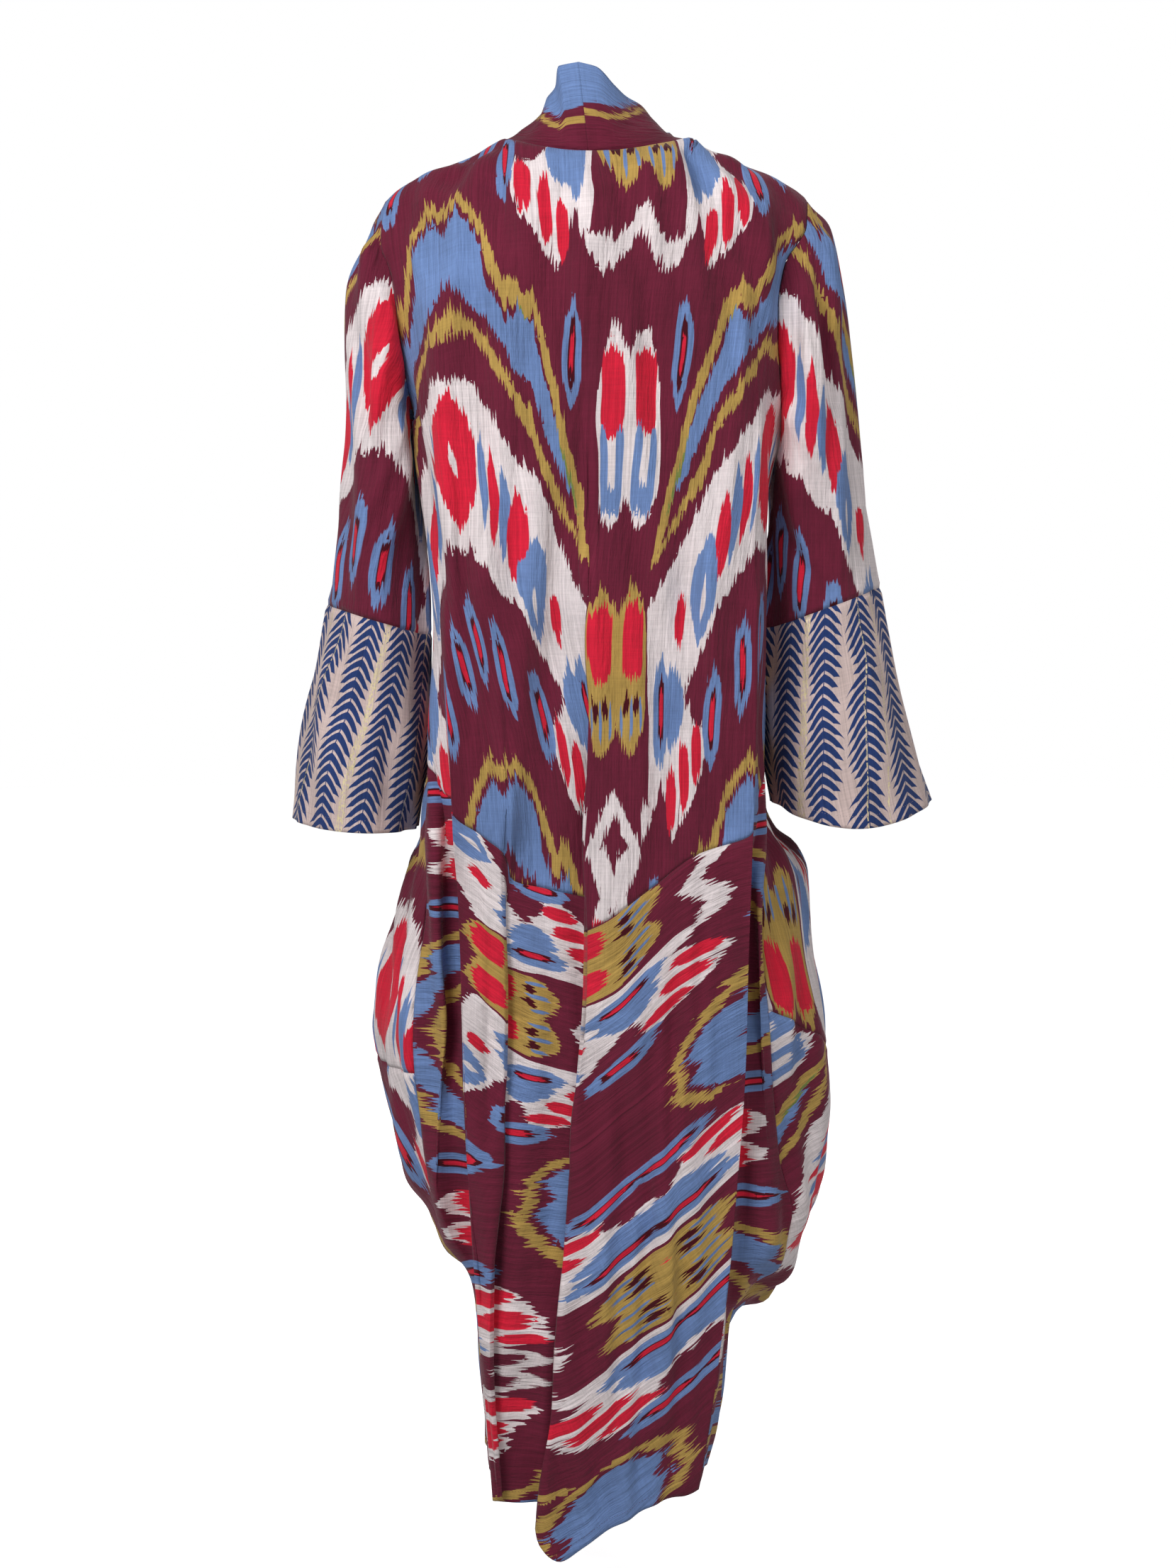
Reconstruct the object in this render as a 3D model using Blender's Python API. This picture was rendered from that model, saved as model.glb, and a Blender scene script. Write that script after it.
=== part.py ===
"""A long open-front cocoon kaftan of thin cotton, in its worn form.

Metres, +Z up. The wearer faces +Y and the wearer's right side is +X. The origin lies at the base of the
neck, midway between the two neck points. Every panel is a thin closed wall cut from one ruled grid of the
body, so that neighbouring panels share the same seam line and lie a seam gap apart.
"""

import math

import bmesh
import bpy
import numpy as np

# Cloth
cloth_wall = 0.0016
collar_wall = 0.0020
seam_gap = 0.0004

# Neck, shoulders and armholes
neck_half = 0.096
neck_centre_x = -0.004
neck_back_y = -0.075
neck_back_dip = 0.021
shoulder_tip_x = 0.218
shoulder_round = 0.17
arm_drop = 0.29
armhole_cut = 0.074
armhole_reach = 6

# Rows of the body grid, from the shoulder line down
row_arm = 10
row_vee = 17
row_front_seam = 22
row_hem = 33
row_collar_end = 14

# Columns on each shoulder, from the armhole to the neck
shoulder_steps = 11

# Sleeves and cuffs
sleeve_columns = 40
sleeve_rows = 10
cuff_rows = 4

# Gathers of the sleeve head: angles from the top of the sleeve where they start and end, the angle they
# share, how much of their height points sideways, and (ring, strength) down the sleeve.
gather_height = 0.0035
gather_count = 2
gather_start = (0.15, 0.5)
gather_end = (1.3, 1.7)
gather_span = 1.4
gather_side = 0.6
gather_rings = ((1, 1.0), (2, 1.0), (3, 0.5))

collar_rows = 4
collar_bow = 0.004

# Columns of the back, from the right side seam to the left one. steps: columns to the next line.
# vee, front and hem: how far below the neck the V seam, the front seam's level and the hem cross this line.
back_columns = [
    # name         steps  vee    front  hem
    ("seam_right",   2, 0.640, 0.890, 1.335),
    ("ridge_right",  2, 0.655, 0.910, 1.342),
    ("valley_right", 2, 0.670, 0.930, 1.348),
    ("under_right",  1, 0.690, 0.950, 1.356),
    ("lip_right",    4, 0.703, 0.970, 1.372),
    ("blade_right",  3, 0.729, 1.000, 1.394),
    ("inner_right",  2, 0.765, 1.030, 1.420),
    ("centre_right", 1, 0.793, 1.050, 1.440),
    ("pleat_a",      1, 0.803, 1.060, 1.428),
    ("pleat_b",      1, 0.805, 1.060, 1.405),
    ("pleat_c",      1, 0.803, 1.060, 1.396),
    ("pleat_d",      1, 0.795, 1.060, 1.391),
    ("pleat_e",      1, 0.787, 1.060, 1.388),
    ("pleat_f",      2, 0.778, 1.060, 1.386),
    ("pleat_floor",  2, 0.766, 1.060, 1.386),
    ("fold_f",       1, 0.755, 1.060, 1.385),
    ("fold_e",       1, 0.750, 1.060, 1.384),
    ("fold_d",       1, 0.742, 1.055, 1.383),
    ("fold_c",       1, 0.735, 1.050, 1.381),
    ("fold_b",       1, 0.727, 1.045, 1.380),
    ("fold_a",       1, 0.722, 1.040, 1.378),
    ("blade_left",   4, 0.714, 1.020, 1.370),
    ("lip_left",     1, 0.683, 0.990, 1.352),
    ("under_left",   2, 0.672, 0.980, 1.346),
    ("valley_left",  2, 0.660, 0.970, 1.342),
    ("ridge_left",   2, 0.645, 0.960, 1.338),
    ("seam_left",    0, 0.630, 0.955, 1.335),
]

# Columns of each front, from its side seam to its front edge.
front_columns = {
    "right": [
        # name        steps  vee    front  hem
        ("seam",        2, 0.640, 0.890, 1.335),
        ("pouch_back",  2, 0.660, 0.925, 1.330),
        ("out",         2, 0.680, 0.950, 1.325),
        ("pouch_front", 3, 0.700, 0.950, 1.315),
        ("chest",       2, 0.710, 0.930, 1.305),
        ("edge",        0, 0.720, 0.915, 1.300),
    ],
    "left": [
        ("seam",        2, 0.630, 0.955, 1.335),
        ("pouch_back",  2, 0.655, 0.955, 1.330),
        ("out",         2, 0.680, 0.955, 1.325),
        ("pouch_front", 3, 0.700, 0.950, 1.315),
        ("chest",       2, 0.710, 0.930, 1.305),
        ("edge",        0, 0.720, 0.915, 1.300),
    ],
}

# Lines that run down each side of the body: drop below the neck, distance out from the centre, and y.
# lip: where the back panel turns in. under, valley, ridge: the recess beside it. out: the widest line.
side_lines = {
    "right": {
        "lip": [
            (0.29, 0.166, -0.105), (0.36, 0.163, -0.117), (0.50, 0.160, -0.123), (0.62, 0.159, -0.129),
            (0.76, 0.155, -0.137), (0.93, 0.150, -0.145), (1.10, 0.139, -0.149), (1.22, 0.126, -0.149),
            (1.32, 0.1125, -0.147), (1.40, 0.098, -0.143),
        ],
        "under": [
            (0.29, 0.173, -0.090), (0.50, 0.165, -0.107), (0.62, 0.161, -0.113), (0.70, 0.156, -0.115),
            (0.76, 0.151, -0.118), (0.93, 0.146, -0.124), (1.10, 0.136, -0.130), (1.20, 0.131, -0.135),
            (1.24, 0.1275, -0.133), (1.32, 0.1165, -0.130), (1.40, 0.1015, -0.126),
        ],
        "valley": [
            (0.29, 0.180, -0.066), (0.50, 0.168, -0.085), (0.62, 0.164, -0.100), (0.70, 0.159, -0.105),
            (0.76, 0.155, -0.105), (0.93, 0.154, -0.110), (1.10, 0.150, -0.115), (1.17, 0.140, -0.115),
            (1.22, 0.1315, -0.112), (1.32, 0.119, -0.110), (1.40, 0.1045, -0.106),
        ],
        "ridge": [
            (0.29, 0.186, -0.034), (0.50, 0.1675, -0.062), (0.62, 0.168, -0.085), (0.70, 0.167, -0.098),
            (0.76, 0.163, -0.107), (0.93, 0.169, -0.116), (1.02, 0.174, -0.119), (1.10, 0.178, -0.118),
            (1.17, 0.155, -0.108), (1.22, 0.1335, -0.090), (1.32, 0.1205, -0.088), (1.40, 0.1055, -0.085),
        ],
        "seam": [
            (0.29, 0.188, 0.000), (0.36, 0.168, -0.018), (0.50, 0.1665, -0.042), (0.62, 0.170, -0.068),
            (0.70, 0.172, -0.085), (0.76, 0.169, -0.098), (0.93, 0.181, -0.102), (1.04, 0.193, -0.104),
            (1.10, 0.206, -0.100), (1.155, 0.185, -0.090), (1.20, 0.150, -0.078), (1.235, 0.134, -0.066),
            (1.32, 0.1215, -0.064), (1.40, 0.106, -0.062),
        ],
        "out": [
            (0.29, 0.186, 0.040), (0.33, 0.172, 0.035), (0.36, 0.1665, 0.030), (0.62, 0.170, 0.020),
            (0.69, 0.174, 0.020), (0.715, 0.186, 0.020), (0.735, 0.206, 0.020), (0.76, 0.219, 0.020),
            (0.84, 0.229, 0.020), (0.93, 0.2405, 0.015), (1.00, 0.2445, 0.010), (1.06, 0.239, 0.010),
            (1.11, 0.230, 0.010), (1.15, 0.216, 0.010), (1.18, 0.203, 0.010), (1.21, 0.165, 0.000),
            (1.235, 0.1365, -0.005), (1.32, 0.1225, -0.010), (1.40, 0.1065, -0.010),
        ],
    },
    "left": {
        "lip": [
            (0.29, 0.160, -0.105), (0.36, 0.157, -0.117), (0.50, 0.152, -0.123), (0.62, 0.148, -0.129),
            (0.70, 0.145, -0.133), (0.77, 0.1395, -0.137), (0.93, 0.1345, -0.145), (1.02, 0.131, -0.148),
            (1.12, 0.1265, -0.149), (1.20, 0.121, -0.147), (1.32, 0.1115, -0.142), (1.40, 0.108, -0.138),
        ],
        "under": [
            (0.29, 0.168, -0.090), (0.50, 0.158, -0.106), (0.62, 0.151, -0.112), (0.70, 0.143, -0.115),
            (0.77, 0.1365, -0.118), (0.93, 0.130, -0.124), (1.08, 0.126, -0.130), (1.15, 0.1245, -0.133),
            (1.20, 0.123, -0.130), (1.32, 0.1135, -0.126), (1.40, 0.1095, -0.122),
        ],
        "valley": [
            (0.29, 0.178, -0.066), (0.50, 0.165, -0.084), (0.62, 0.158, -0.096), (0.70, 0.154, -0.099),
            (0.77, 0.150, -0.100), (0.93, 0.147, -0.106), (1.05, 0.145, -0.112), (1.12, 0.137, -0.115),
            (1.17, 0.127, -0.112), (1.20, 0.1245, -0.108), (1.32, 0.115, -0.106), (1.40, 0.1105, -0.102),
        ],
        "ridge": [
            (0.29, 0.185, -0.034), (0.50, 0.168, -0.062), (0.62, 0.166, -0.088), (0.70, 0.165, -0.108),
            (0.84, 0.160, -0.116), (0.90, 0.1545, -0.120), (0.98, 0.160, -0.122), (1.06, 0.164, -0.120),
            (1.12, 0.150, -0.114), (1.17, 0.129, -0.100), (1.20, 0.1255, -0.088), (1.32, 0.116, -0.086),
            (1.40, 0.1115, -0.082),
        ],
        "seam": [
            (0.29, 0.188, 0.000), (0.36, 0.168, -0.018), (0.50, 0.167, -0.042), (0.62, 0.171, -0.068),
            (0.72, 0.180, -0.090), (0.93, 0.184, -0.100), (1.02, 0.180, -0.100), (1.08, 0.172, -0.095),
            (1.13, 0.158, -0.090), (1.165, 0.133, -0.080), (1.20, 0.126, -0.066), (1.32, 0.1165, -0.064),
            (1.40, 0.1125, -0.062),
        ],
        "out": [
            (0.29, 0.186, 0.040), (0.33, 0.172, 0.035), (0.36, 0.166, 0.030), (0.62, 0.170, 0.020),
            (0.70, 0.176, 0.020), (0.73, 0.188, 0.020), (0.755, 0.200, 0.020), (0.80, 0.2125, 0.020),
            (0.875, 0.227, 0.015), (0.924, 0.233, 0.010), (0.955, 0.229, 0.010), (1.037, 0.212, 0.010),
            (1.074, 0.203, 0.010), (1.103, 0.184, 0.010), (1.133, 0.168, 0.005), (1.155, 0.150, 0.000),
            (1.175, 0.131, 0.000), (1.20, 0.127, -0.005), (1.32, 0.1175, -0.010), (1.40, 0.113, -0.010),
        ],
    },
}

# Lines down the middle of the back and front: drop below the neck, then one value.
back_depth = [(0.29, -0.122), (0.50, -0.127), (0.70, -0.132), (0.90, -0.142), (1.10, -0.152),
              (1.30, -0.162), (1.46, -0.172)]
front_depth = [(0.29, 0.140), (0.50, 0.138), (0.75, 0.145), (0.95, 0.150), (1.10, 0.145), (1.22, 0.120),
               (1.40, 0.112)]
front_edge_x = [(0.29, 0.050), (0.50, 0.040), (0.75, 0.035), (1.40, 0.030)]

# The centre pleat, whose right side lies over the left, and the fold to its left, which faces it.
# sink_from, sink_to: the drops over which it deepens. lap_from, lap_to: over which its layers overlap.
pleat_line_x = [(0.29, -0.008), (0.69, -0.012), (0.86, -0.014), (0.98, -0.023), (1.09, -0.031),
                (1.21, -0.039), (1.27, -0.043), (1.38, -0.056), (1.46, -0.060)]
fold_line_x = [(0.29, -0.070), (0.70, -0.088), (0.93, -0.090), (1.09, -0.102), (1.23, -0.104), (1.40, -0.094)]
pleats = {
    "pleat": {"line": pleat_line_x, "sink_from": 0.27, "sink_to": 0.42, "lap_from": 0.38, "lap_to": 0.76,
              "lap": [(0.76, 0.024), (1.40, 0.028)]},
    "fold": {"line": fold_line_x, "sink_from": 0.60, "sink_to": 0.74, "lap_from": 0.70, "lap_to": 0.88,
             "lap": [(0.90, 0.016), (1.10, 0.015), (1.24, 0.010)]},
}
pleat_growth = [(0.80, 1.0), (1.40, 1.5)]
pleat_parts = [
    # part, flat place, tucked place at the lip, share of the lap, depth
    ("a", 0.010, 0.004, 0.0, 0.0000),
    ("b", 0.006, 0.000, 0.0, 0.0030),
    ("c", 0.002, 0.004, 0.0, 0.0060),
    ("d", -0.002, -0.004, 1.0, 0.0060),
    ("e", -0.006, 0.000, 1.0, 0.0085),
    ("f", -0.010, -0.004, 1.0, 0.0110),
]

# Soft vertical folds that stand out from the cloth between the side lines. from and full: the drops where
# one starts and where it has its whole height.
soft_folds = {
    "back": [
        # x_top x_hem from full height width
        (0.056, 0.062, 0.84, 1.16, 0.0045, 0.013),
        (0.100, 0.090, 0.84, 1.16, 0.0045, 0.010),
        (-0.118, -0.108, 0.36, 0.55, 0.0030, 0.012),
    ],
    "front": [
        (0.120, 0.066, 0.35, 0.80, 0.0070, 0.016),
        (0.175, 0.105, 0.45, 0.90, 0.0060, 0.014),
        (-0.105, -0.062, 0.35, 0.80, 0.0070, 0.016),
        (-0.165, -0.100, 0.45, 0.90, 0.0060, 0.014),
    ],
}
fold_floor = 1.30
front_fold_y = 0.14

# Where the lines between the named side lines lie. back: shares of the way from the pleats to a lip.
# front: share of the way out and share of the way forward.
blade_shares = {"right": (0.64, 0.36, 0.12), "left": (0.22,)}
pouch_back_share = (0.80, 0.45)
pouch_front_share = (0.90, 0.62)
chest_share = (0.55, 0.97)
pleat_floor_depth = 1.1

# How the rows above the underarm spread out from the shoulder line
yoke_spread = 1.35

# Armhole edge: drop below the neck, distance out from the centre.
armhole_x = {
    "right": [(0.060, 0.218), (0.094, 0.214), (0.113, 0.203), (0.126, 0.194), (0.146, 0.188), (0.178, 0.184),
              (0.210, 0.184), (0.243, 0.187), (0.265, 0.189), (0.290, 0.188)],
    "left": [(0.060, 0.218), (0.100, 0.2205), (0.116, 0.2195), (0.130, 0.213), (0.153, 0.207),
             (0.199, 0.2015), (0.254, 0.194), (0.290, 0.188)],
}
shoulder_slope = [(0.096, 0.000), (0.140, 0.020), (0.180, 0.037), (0.205, 0.050), (0.218, 0.062)]

# Rings of each sleeve below the armhole: out is the side away from the body and in the side beside it,
# each with its distance from the centre and its drop. depth is the half width front to back.
sleeve_rings = {
    "right": [
        # out_x out_drop in_x in_drop depth sag
        (0.240, 0.092, 0.191, 0.300, 0.078, 0.0),
        (0.252, 0.150, 0.189, 0.315, 0.080, 0.0),
        (0.257, 0.215, 0.184, 0.335, 0.078, 0.0),
        (0.266, 0.290, 0.179, 0.370, 0.074, 0.0),
        (0.279, 0.375, 0.175, 0.430, 0.070, 0.0),
        (0.291, 0.461, 0.172, 0.503, 0.072, 0.0),
    ],
    "left": [
        (0.240, 0.104, 0.190, 0.300, 0.078, 0.0),
        (0.255, 0.160, 0.187, 0.315, 0.080, 0.0),
        (0.258, 0.222, 0.184, 0.335, 0.078, 0.0),
        (0.259, 0.300, 0.180, 0.370, 0.074, 0.0),
        (0.268, 0.390, 0.176, 0.435, 0.070, 0.0),
        (0.279, 0.478, 0.175, 0.509, 0.074, 0.0),
    ],
}
cuff_rings = {
    "right": [
        (0.291, 0.461, 0.172, 0.503, 0.072, 0.0),
        (0.313, 0.552, 0.1725, 0.573, 0.078, 0.004),
        (0.332, 0.627, 0.175, 0.636, 0.084, 0.011),
        (0.350, 0.683, 0.183, 0.684, 0.088, 0.022),
    ],
    "left": [
        (0.279, 0.478, 0.175, 0.509, 0.074, 0.0),
        (0.302, 0.573, 0.176, 0.588, 0.082, 0.0),
        (0.314, 0.645, 0.181, 0.661, 0.090, 0.0),
        (0.320, 0.700, 0.187, 0.711, 0.096, 0.003),
    ],
}

# Collar: the free edge's offset from the neck edge. place runs 0 at the centre back, 1 at the neck point
# and 2 at the end on the front edge.
collar_reach = {
    "right": [
        # place dx dy dz
        (0.00, -0.010, 0.022, 0.092),
        (0.15, -0.008, 0.022, 0.088),
        (0.35, -0.010, 0.024, 0.068),
        (0.60, -0.013, 0.030, 0.050),
        (1.00, -0.022, 0.042, 0.012),
        (1.25, -0.042, 0.012, 0.002),
        (1.60, -0.030, 0.003, 0.000),
        (2.00, -0.014, 0.001, 0.000),
    ],
    "left": [
        (0.00, -0.010, 0.022, 0.092),
        (0.20, -0.012, 0.022, 0.088),
        (0.35, -0.002, 0.024, 0.064),
        (0.60, 0.010, 0.030, 0.046),
        (1.00, 0.022, 0.042, 0.012),
        (1.25, 0.042, 0.012, 0.002),
        (1.60, 0.030, 0.003, 0.000),
        (2.00, 0.014, 0.001, 0.000),
    ],
}

colours = {
    "ikat": (0.17, 0.022, 0.030, 1.0),
    "cuff": (0.52, 0.41, 0.40, 1.0),
}


def through(keys, values, at):
    """Smooth curve through (key, value) points that never overshoots them."""
    keys = np.asarray(keys, dtype=float)
    values = np.asarray(values, dtype=float)
    step = np.diff(keys)
    spread = step.reshape((-1,) + (1,) * (values.ndim - 1))
    rate = np.diff(values, axis=0) / spread
    slope = np.zeros_like(values)
    slope[0] = rate[0]
    slope[-1] = rate[-1]
    before, after = rate[:-1], rate[1:]
    same_way = before * after > 0
    total = np.where(same_way, before + after, 1.0)
    slope[1:-1] = np.where(same_way, 2 * before * after / total, 0.0)
    at = np.clip(at, keys[0], keys[-1])
    low = np.clip(np.searchsorted(keys, at, side="right") - 1, 0, len(keys) - 2)
    t = (at - keys[low]) / step[low]
    start = (1 + 2 * t) * (1 - t) ** 2 * values[low] + t * (1 - t) ** 2 * step[low] * slope[low]
    end = t * t * (3 - 2 * t) * values[low + 1] + t * t * (t - 1) * step[low] * slope[low + 1]
    return start + end


def line(table, drop, column=1):
    """One column of a table that runs down the garment, read at one or more drops."""
    return through([row[0] for row in table], [row[column] for row in table], drop)


def ease(low, high, value):
    """0 below low, 1 above high, smooth between."""
    t = np.clip((value - low) / (high - low), 0.0, 1.0)
    return t * t * (3 - 2 * t)


def column_places(columns):
    """The grid column at which each named line lies."""
    places = [0]
    for name, steps, *rest in columns[:-1]:
        places.append(places[-1] + steps)
    return places


def pleat_points(name, side, base_y, drop):
    """The six lines of a knife pleat. side is +1 where the upper layer lies to the right."""
    pleat = pleats[name]
    sink = ease(pleat["sink_from"], pleat["sink_to"], drop) * line(pleat_growth, drop)
    tuck = ease(pleat["lap_from"], pleat["lap_to"], drop)
    lap = line(pleat["lap"], drop)
    at = line(pleat["line"], drop)
    points = []
    for part, flat, tucked, share, depth in pleat_parts:
        place = flat + (tucked + share * lap - flat) * tuck
        points.append((at + side * place, base_y + depth * sink))
    return points


def fold_height(panel, x, drop):
    """How far the soft folds lift the cloth at one place."""
    height = 0.0
    for x_top, x_hem, start, full, top, width in soft_folds[panel]:
        middle = x_top + (x_hem - x_top) * min(1.0, (drop - start) / (fold_floor - start))
        height += top * float(ease(start, full, drop)) * math.exp(-((x - middle) / width) ** 2)
    return height


def blade_points(side, start_x, start_y, lip):
    """The lines of the back between a pleat and the lip on one side, curving away from the pleat."""
    return [(start_x + (lip[0] - start_x) * share, start_y + (lip[1] - start_y) * share ** 2)
            for share in blade_shares[side]]


def back_section(drop):
    """(x, y) of every named line of the back at one drop."""
    right, left = side_lines["right"], side_lines["left"]
    depth = line(back_depth, drop)
    pleat = pleat_points("pleat", 1, depth, drop)
    fold = pleat_points("fold", -1, depth, drop)
    points = [(line(right[key], drop), line(right[key], drop, 2))
              for key in ("seam", "ridge", "valley", "under", "lip")]
    points.extend(blade_points("right", pleat[0][0], depth, points[-1]))
    points.extend(pleat)
    floor_y = depth + (pleat[-1][1] - depth) * pleat_floor_depth
    points.append(((pleat[-1][0] + fold[-1][0]) / 2, floor_y))
    points.extend(reversed(fold))
    left_lip = (-line(left["lip"], drop), line(left["lip"], drop, 2))
    points.extend(blade_points("left", fold[0][0], depth, left_lip))
    points.extend((-line(left[key], drop), line(left[key], drop, 2))
                  for key in ("lip", "under", "valley", "ridge", "seam"))
    return points


def front_section(side, drop):
    """(distance out, y) of every named line of one front at one drop."""
    lines = side_lines[side]
    seam_x, seam_y = line(lines["seam"], drop), line(lines["seam"], drop, 2)
    out_x, out_y = line(lines["out"], drop), line(lines["out"], drop, 2)
    edge_x, edge_y = line(front_edge_x, drop), line(front_depth, drop)
    points = [(seam_x, seam_y)]
    share_out, share_on = pouch_back_share
    points.append((seam_x + (out_x - seam_x) * share_out, seam_y + (out_y - seam_y) * share_on))
    points.append((out_x, out_y))
    for share_out, share_on in (pouch_front_share, chest_share):
        points.append((edge_x + (out_x - edge_x) * share_out, out_y + (edge_y - out_y) * share_on))
    points.append((edge_x, edge_y))
    return points


def row_drop(columns, places, place, row):
    """How far below the neck a grid row at or below the underarm lies, on one column."""
    vee, front, hem = (float(through(places, [entry[key] for entry in columns], place)) for key in (2, 3, 4))
    return float(through([row_arm, row_vee, row_front_seam, row_hem], [arm_drop, vee, front, hem], row))


def shoulder_point(side, step):
    """A point of the shoulder line. step counts columns from the armhole to the neck."""
    x = shoulder_tip_x + (neck_half - shoulder_tip_x) * step / shoulder_steps
    return side * x, 0.0, float(line(shoulder_slope, x))


def back_top(place, last):
    """The top edge of the back: shoulder, neck, shoulder."""
    if place <= shoulder_steps:
        return shoulder_point(1, place)
    if place >= last - shoulder_steps:
        return shoulder_point(-1, last - place)
    share = (place - shoulder_steps) / (last - 2 * shoulder_steps)
    across = 1 - 2 * share
    bow = 1 - across ** 2
    return neck_half * across + neck_centre_x * bow, neck_back_y * math.sqrt(bow), neck_back_dip * bow


def armhole_side(side, tops, section, places):
    """Rows above the underarm, for the columns between an armhole and the neck.

    section holds the named points of the underarm level. Each row uses less of its side part, so that the
    armhole runs from the underarm round the front or back of the body to the shoulder tip.
    """
    sign = 1 if side == "right" else -1
    fine = np.linspace(0, shoulder_steps, 8 * shoulder_steps + 1)
    path = np.array([through(places, section, place) for place in fine])
    along = np.concatenate([[0.0], np.cumsum(np.linalg.norm(np.diff(path, axis=0), axis=1))])
    own = along[::8] / along[-1]
    even = np.arange(shoulder_steps + 1) / shoulder_steps
    rows = []
    for row in range(row_arm):
        t = row / row_arm
        cut = armhole_cut * math.sqrt(1 - max(0.0, 2 * t - 1) ** 2)
        place = cut + (along[-1] - cut) * (even + (own - even) * t)
        target = np.stack([np.interp(place, along, path[:, axis]) for axis in (0, 1)], axis=1)
        drop = tops[:, 2] + (arm_drop - tops[:, 2]) * t ** yoke_spread
        fall = np.minimum(1.0, (drop - tops[:, 2]) / shoulder_round)
        turn = np.sqrt(1 - (1 - fall) ** 2)
        x = tops[:, 0] + (target[:, 0] - tops[:, 0]) * t * (2 - t)
        y = tops[:, 1] + (target[:, 1] - tops[:, 1]) * turn
        near = np.maximum(0.0, 1 - np.arange(shoulder_steps + 1) / armhole_reach) ** 2
        x += near * (sign * float(line(armhole_x[side], drop[0])) - x[0])
        rows.append(np.stack([x, y, -drop], axis=1))
    return np.stack(rows, axis=1)


def neck_column(top, end):
    """Rows above the underarm for one column below the neck edge."""
    rows = []
    for row in range(row_arm):
        t = row / row_arm
        drop = top[2] + (arm_drop - top[2]) * t ** yoke_spread
        fall = min(1.0, (drop - top[2]) / shoulder_round)
        turn = math.sqrt(1 - (1 - fall) ** 2)
        rows.append((top[0] + (end[0] - top[0]) * t * (2 - t), top[1] + (end[1] - top[1]) * turn, -drop))
    return rows


def back_grid():
    """Outer points of the back, columns by rows."""
    places = column_places(back_columns)
    last = places[-1]
    tops = np.array([back_top(place, last) for place in range(last + 1)])
    section = np.array(back_section(arm_drop))
    names = [entry[0] for entry in back_columns]
    lips = [places[names.index(name)] for name in ("lip_right", "lip_left")]
    grid = np.zeros((last + 1, row_hem + 1, 3))
    for place in range(last + 1):
        grid[place, :row_arm] = neck_column(tops[place], through(places, section, place))
        for row in range(row_arm, row_hem + 1):
            drop = row_drop(back_columns, places, place, row)
            x, y = through(places, back_section(drop), place)
            lift = fold_height("back", x, drop) if lips[0] < place < lips[1] else 0.0
            grid[place, row] = (x, y - lift, -drop)
    near = slice(0, shoulder_steps + 1)
    grid[near, :row_arm] = armhole_side("right", tops[near], section, places)
    mirrored = [last - place for place in reversed(places)]
    grid[::-1][near, :row_arm] = armhole_side("left", tops[::-1][near], section[::-1], mirrored)
    return grid


def front_grid(side):
    """Outer points of one front, from its side seam to its front edge."""
    sign = 1 if side == "right" else -1
    columns = front_columns[side]
    places = column_places(columns)
    out = np.array([sign, 1])
    tops = np.array([shoulder_point(sign, place) for place in range(shoulder_steps + 1)])
    grid = np.zeros((shoulder_steps + 1, row_hem + 1, 3))
    grid[:, :row_arm] = armhole_side(side, tops, np.array(front_section(side, arm_drop)) * out, places)
    for place in range(shoulder_steps + 1):
        for row in range(row_arm, row_hem + 1):
            drop = row_drop(columns, places, place, row)
            x, y = through(places, front_section(side, drop), place)
            lift = fold_height("front", sign * x, drop) * max(0.0, y) / front_fold_y
            grid[place, row] = (sign * x, y + lift, -drop)
    return grid


def armhole_loop(back_edge, front_edge):
    """The armhole from the shoulder down the back and up the front, each straight halved."""
    loop = np.concatenate([back_edge[:row_arm], front_edge[row_arm:0:-1]])
    after = np.roll(loop, -1, axis=0)
    return np.stack([loop, (loop + after) / 2], axis=1).reshape(-1, 3)


def ring(side, entry):
    """One ring of a sleeve, from its outer side round the back."""
    out_x, out_drop, in_x, in_drop, depth, sag = entry
    sign = 1 if side == "right" else -1
    turn = np.arange(sleeve_columns) * 2 * math.pi / sleeve_columns
    across = np.cos(turn)
    x = (out_x + in_x) / 2 + (out_x - in_x) / 2 * across
    drop = (out_drop + in_drop) / 2 + (out_drop - in_drop) / 2 * across + sag * np.sin(turn) ** 2
    return np.stack([sign * x, -depth * np.sin(turn), -drop], axis=1)


def gathers(side, rings):
    """Soft gathers below the sleeve head, raised away from the sleeve's axis."""
    turn = np.arange(sleeve_columns) * 2 * math.pi / sleeve_columns
    from_top = np.abs((turn + math.pi) % (2 * math.pi) - math.pi)
    zone = ease(*gather_start, from_top) * (1 - ease(*gather_end, from_top))
    wave = zone * np.cos(from_top * 2 * math.pi * gather_count / gather_span)
    sign = 1 if side == "right" else -1
    away = np.stack([sign * np.cos(turn) * gather_side, -np.sin(turn), np.zeros_like(turn)], axis=1)
    for index, strength in gather_rings:
        rings[index] = rings[index] + away * (wave * gather_height * strength)[:, None]
    return rings


def sleeve_grid(side, loop):
    """Outer points of a sleeve, columns round it by rows down it."""
    rings = [loop] + [ring(side, entry) for entry in sleeve_rings[side]]
    rings = gathers(side, rings)
    rows = np.linspace(0, len(rings) - 1, sleeve_rows + 1)
    keys = range(len(rings))
    return np.stack([through(keys, rings, row) for row in rows], axis=1)


def cuff_grid(side):
    """Outer points of a cuff."""
    rings = [ring(side, entry) for entry in cuff_rings[side]]
    rows = np.linspace(0, len(rings) - 1, cuff_rows + 1)
    keys = range(len(rings))
    return np.stack([through(keys, rings, row) for row in rows], axis=1)


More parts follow.
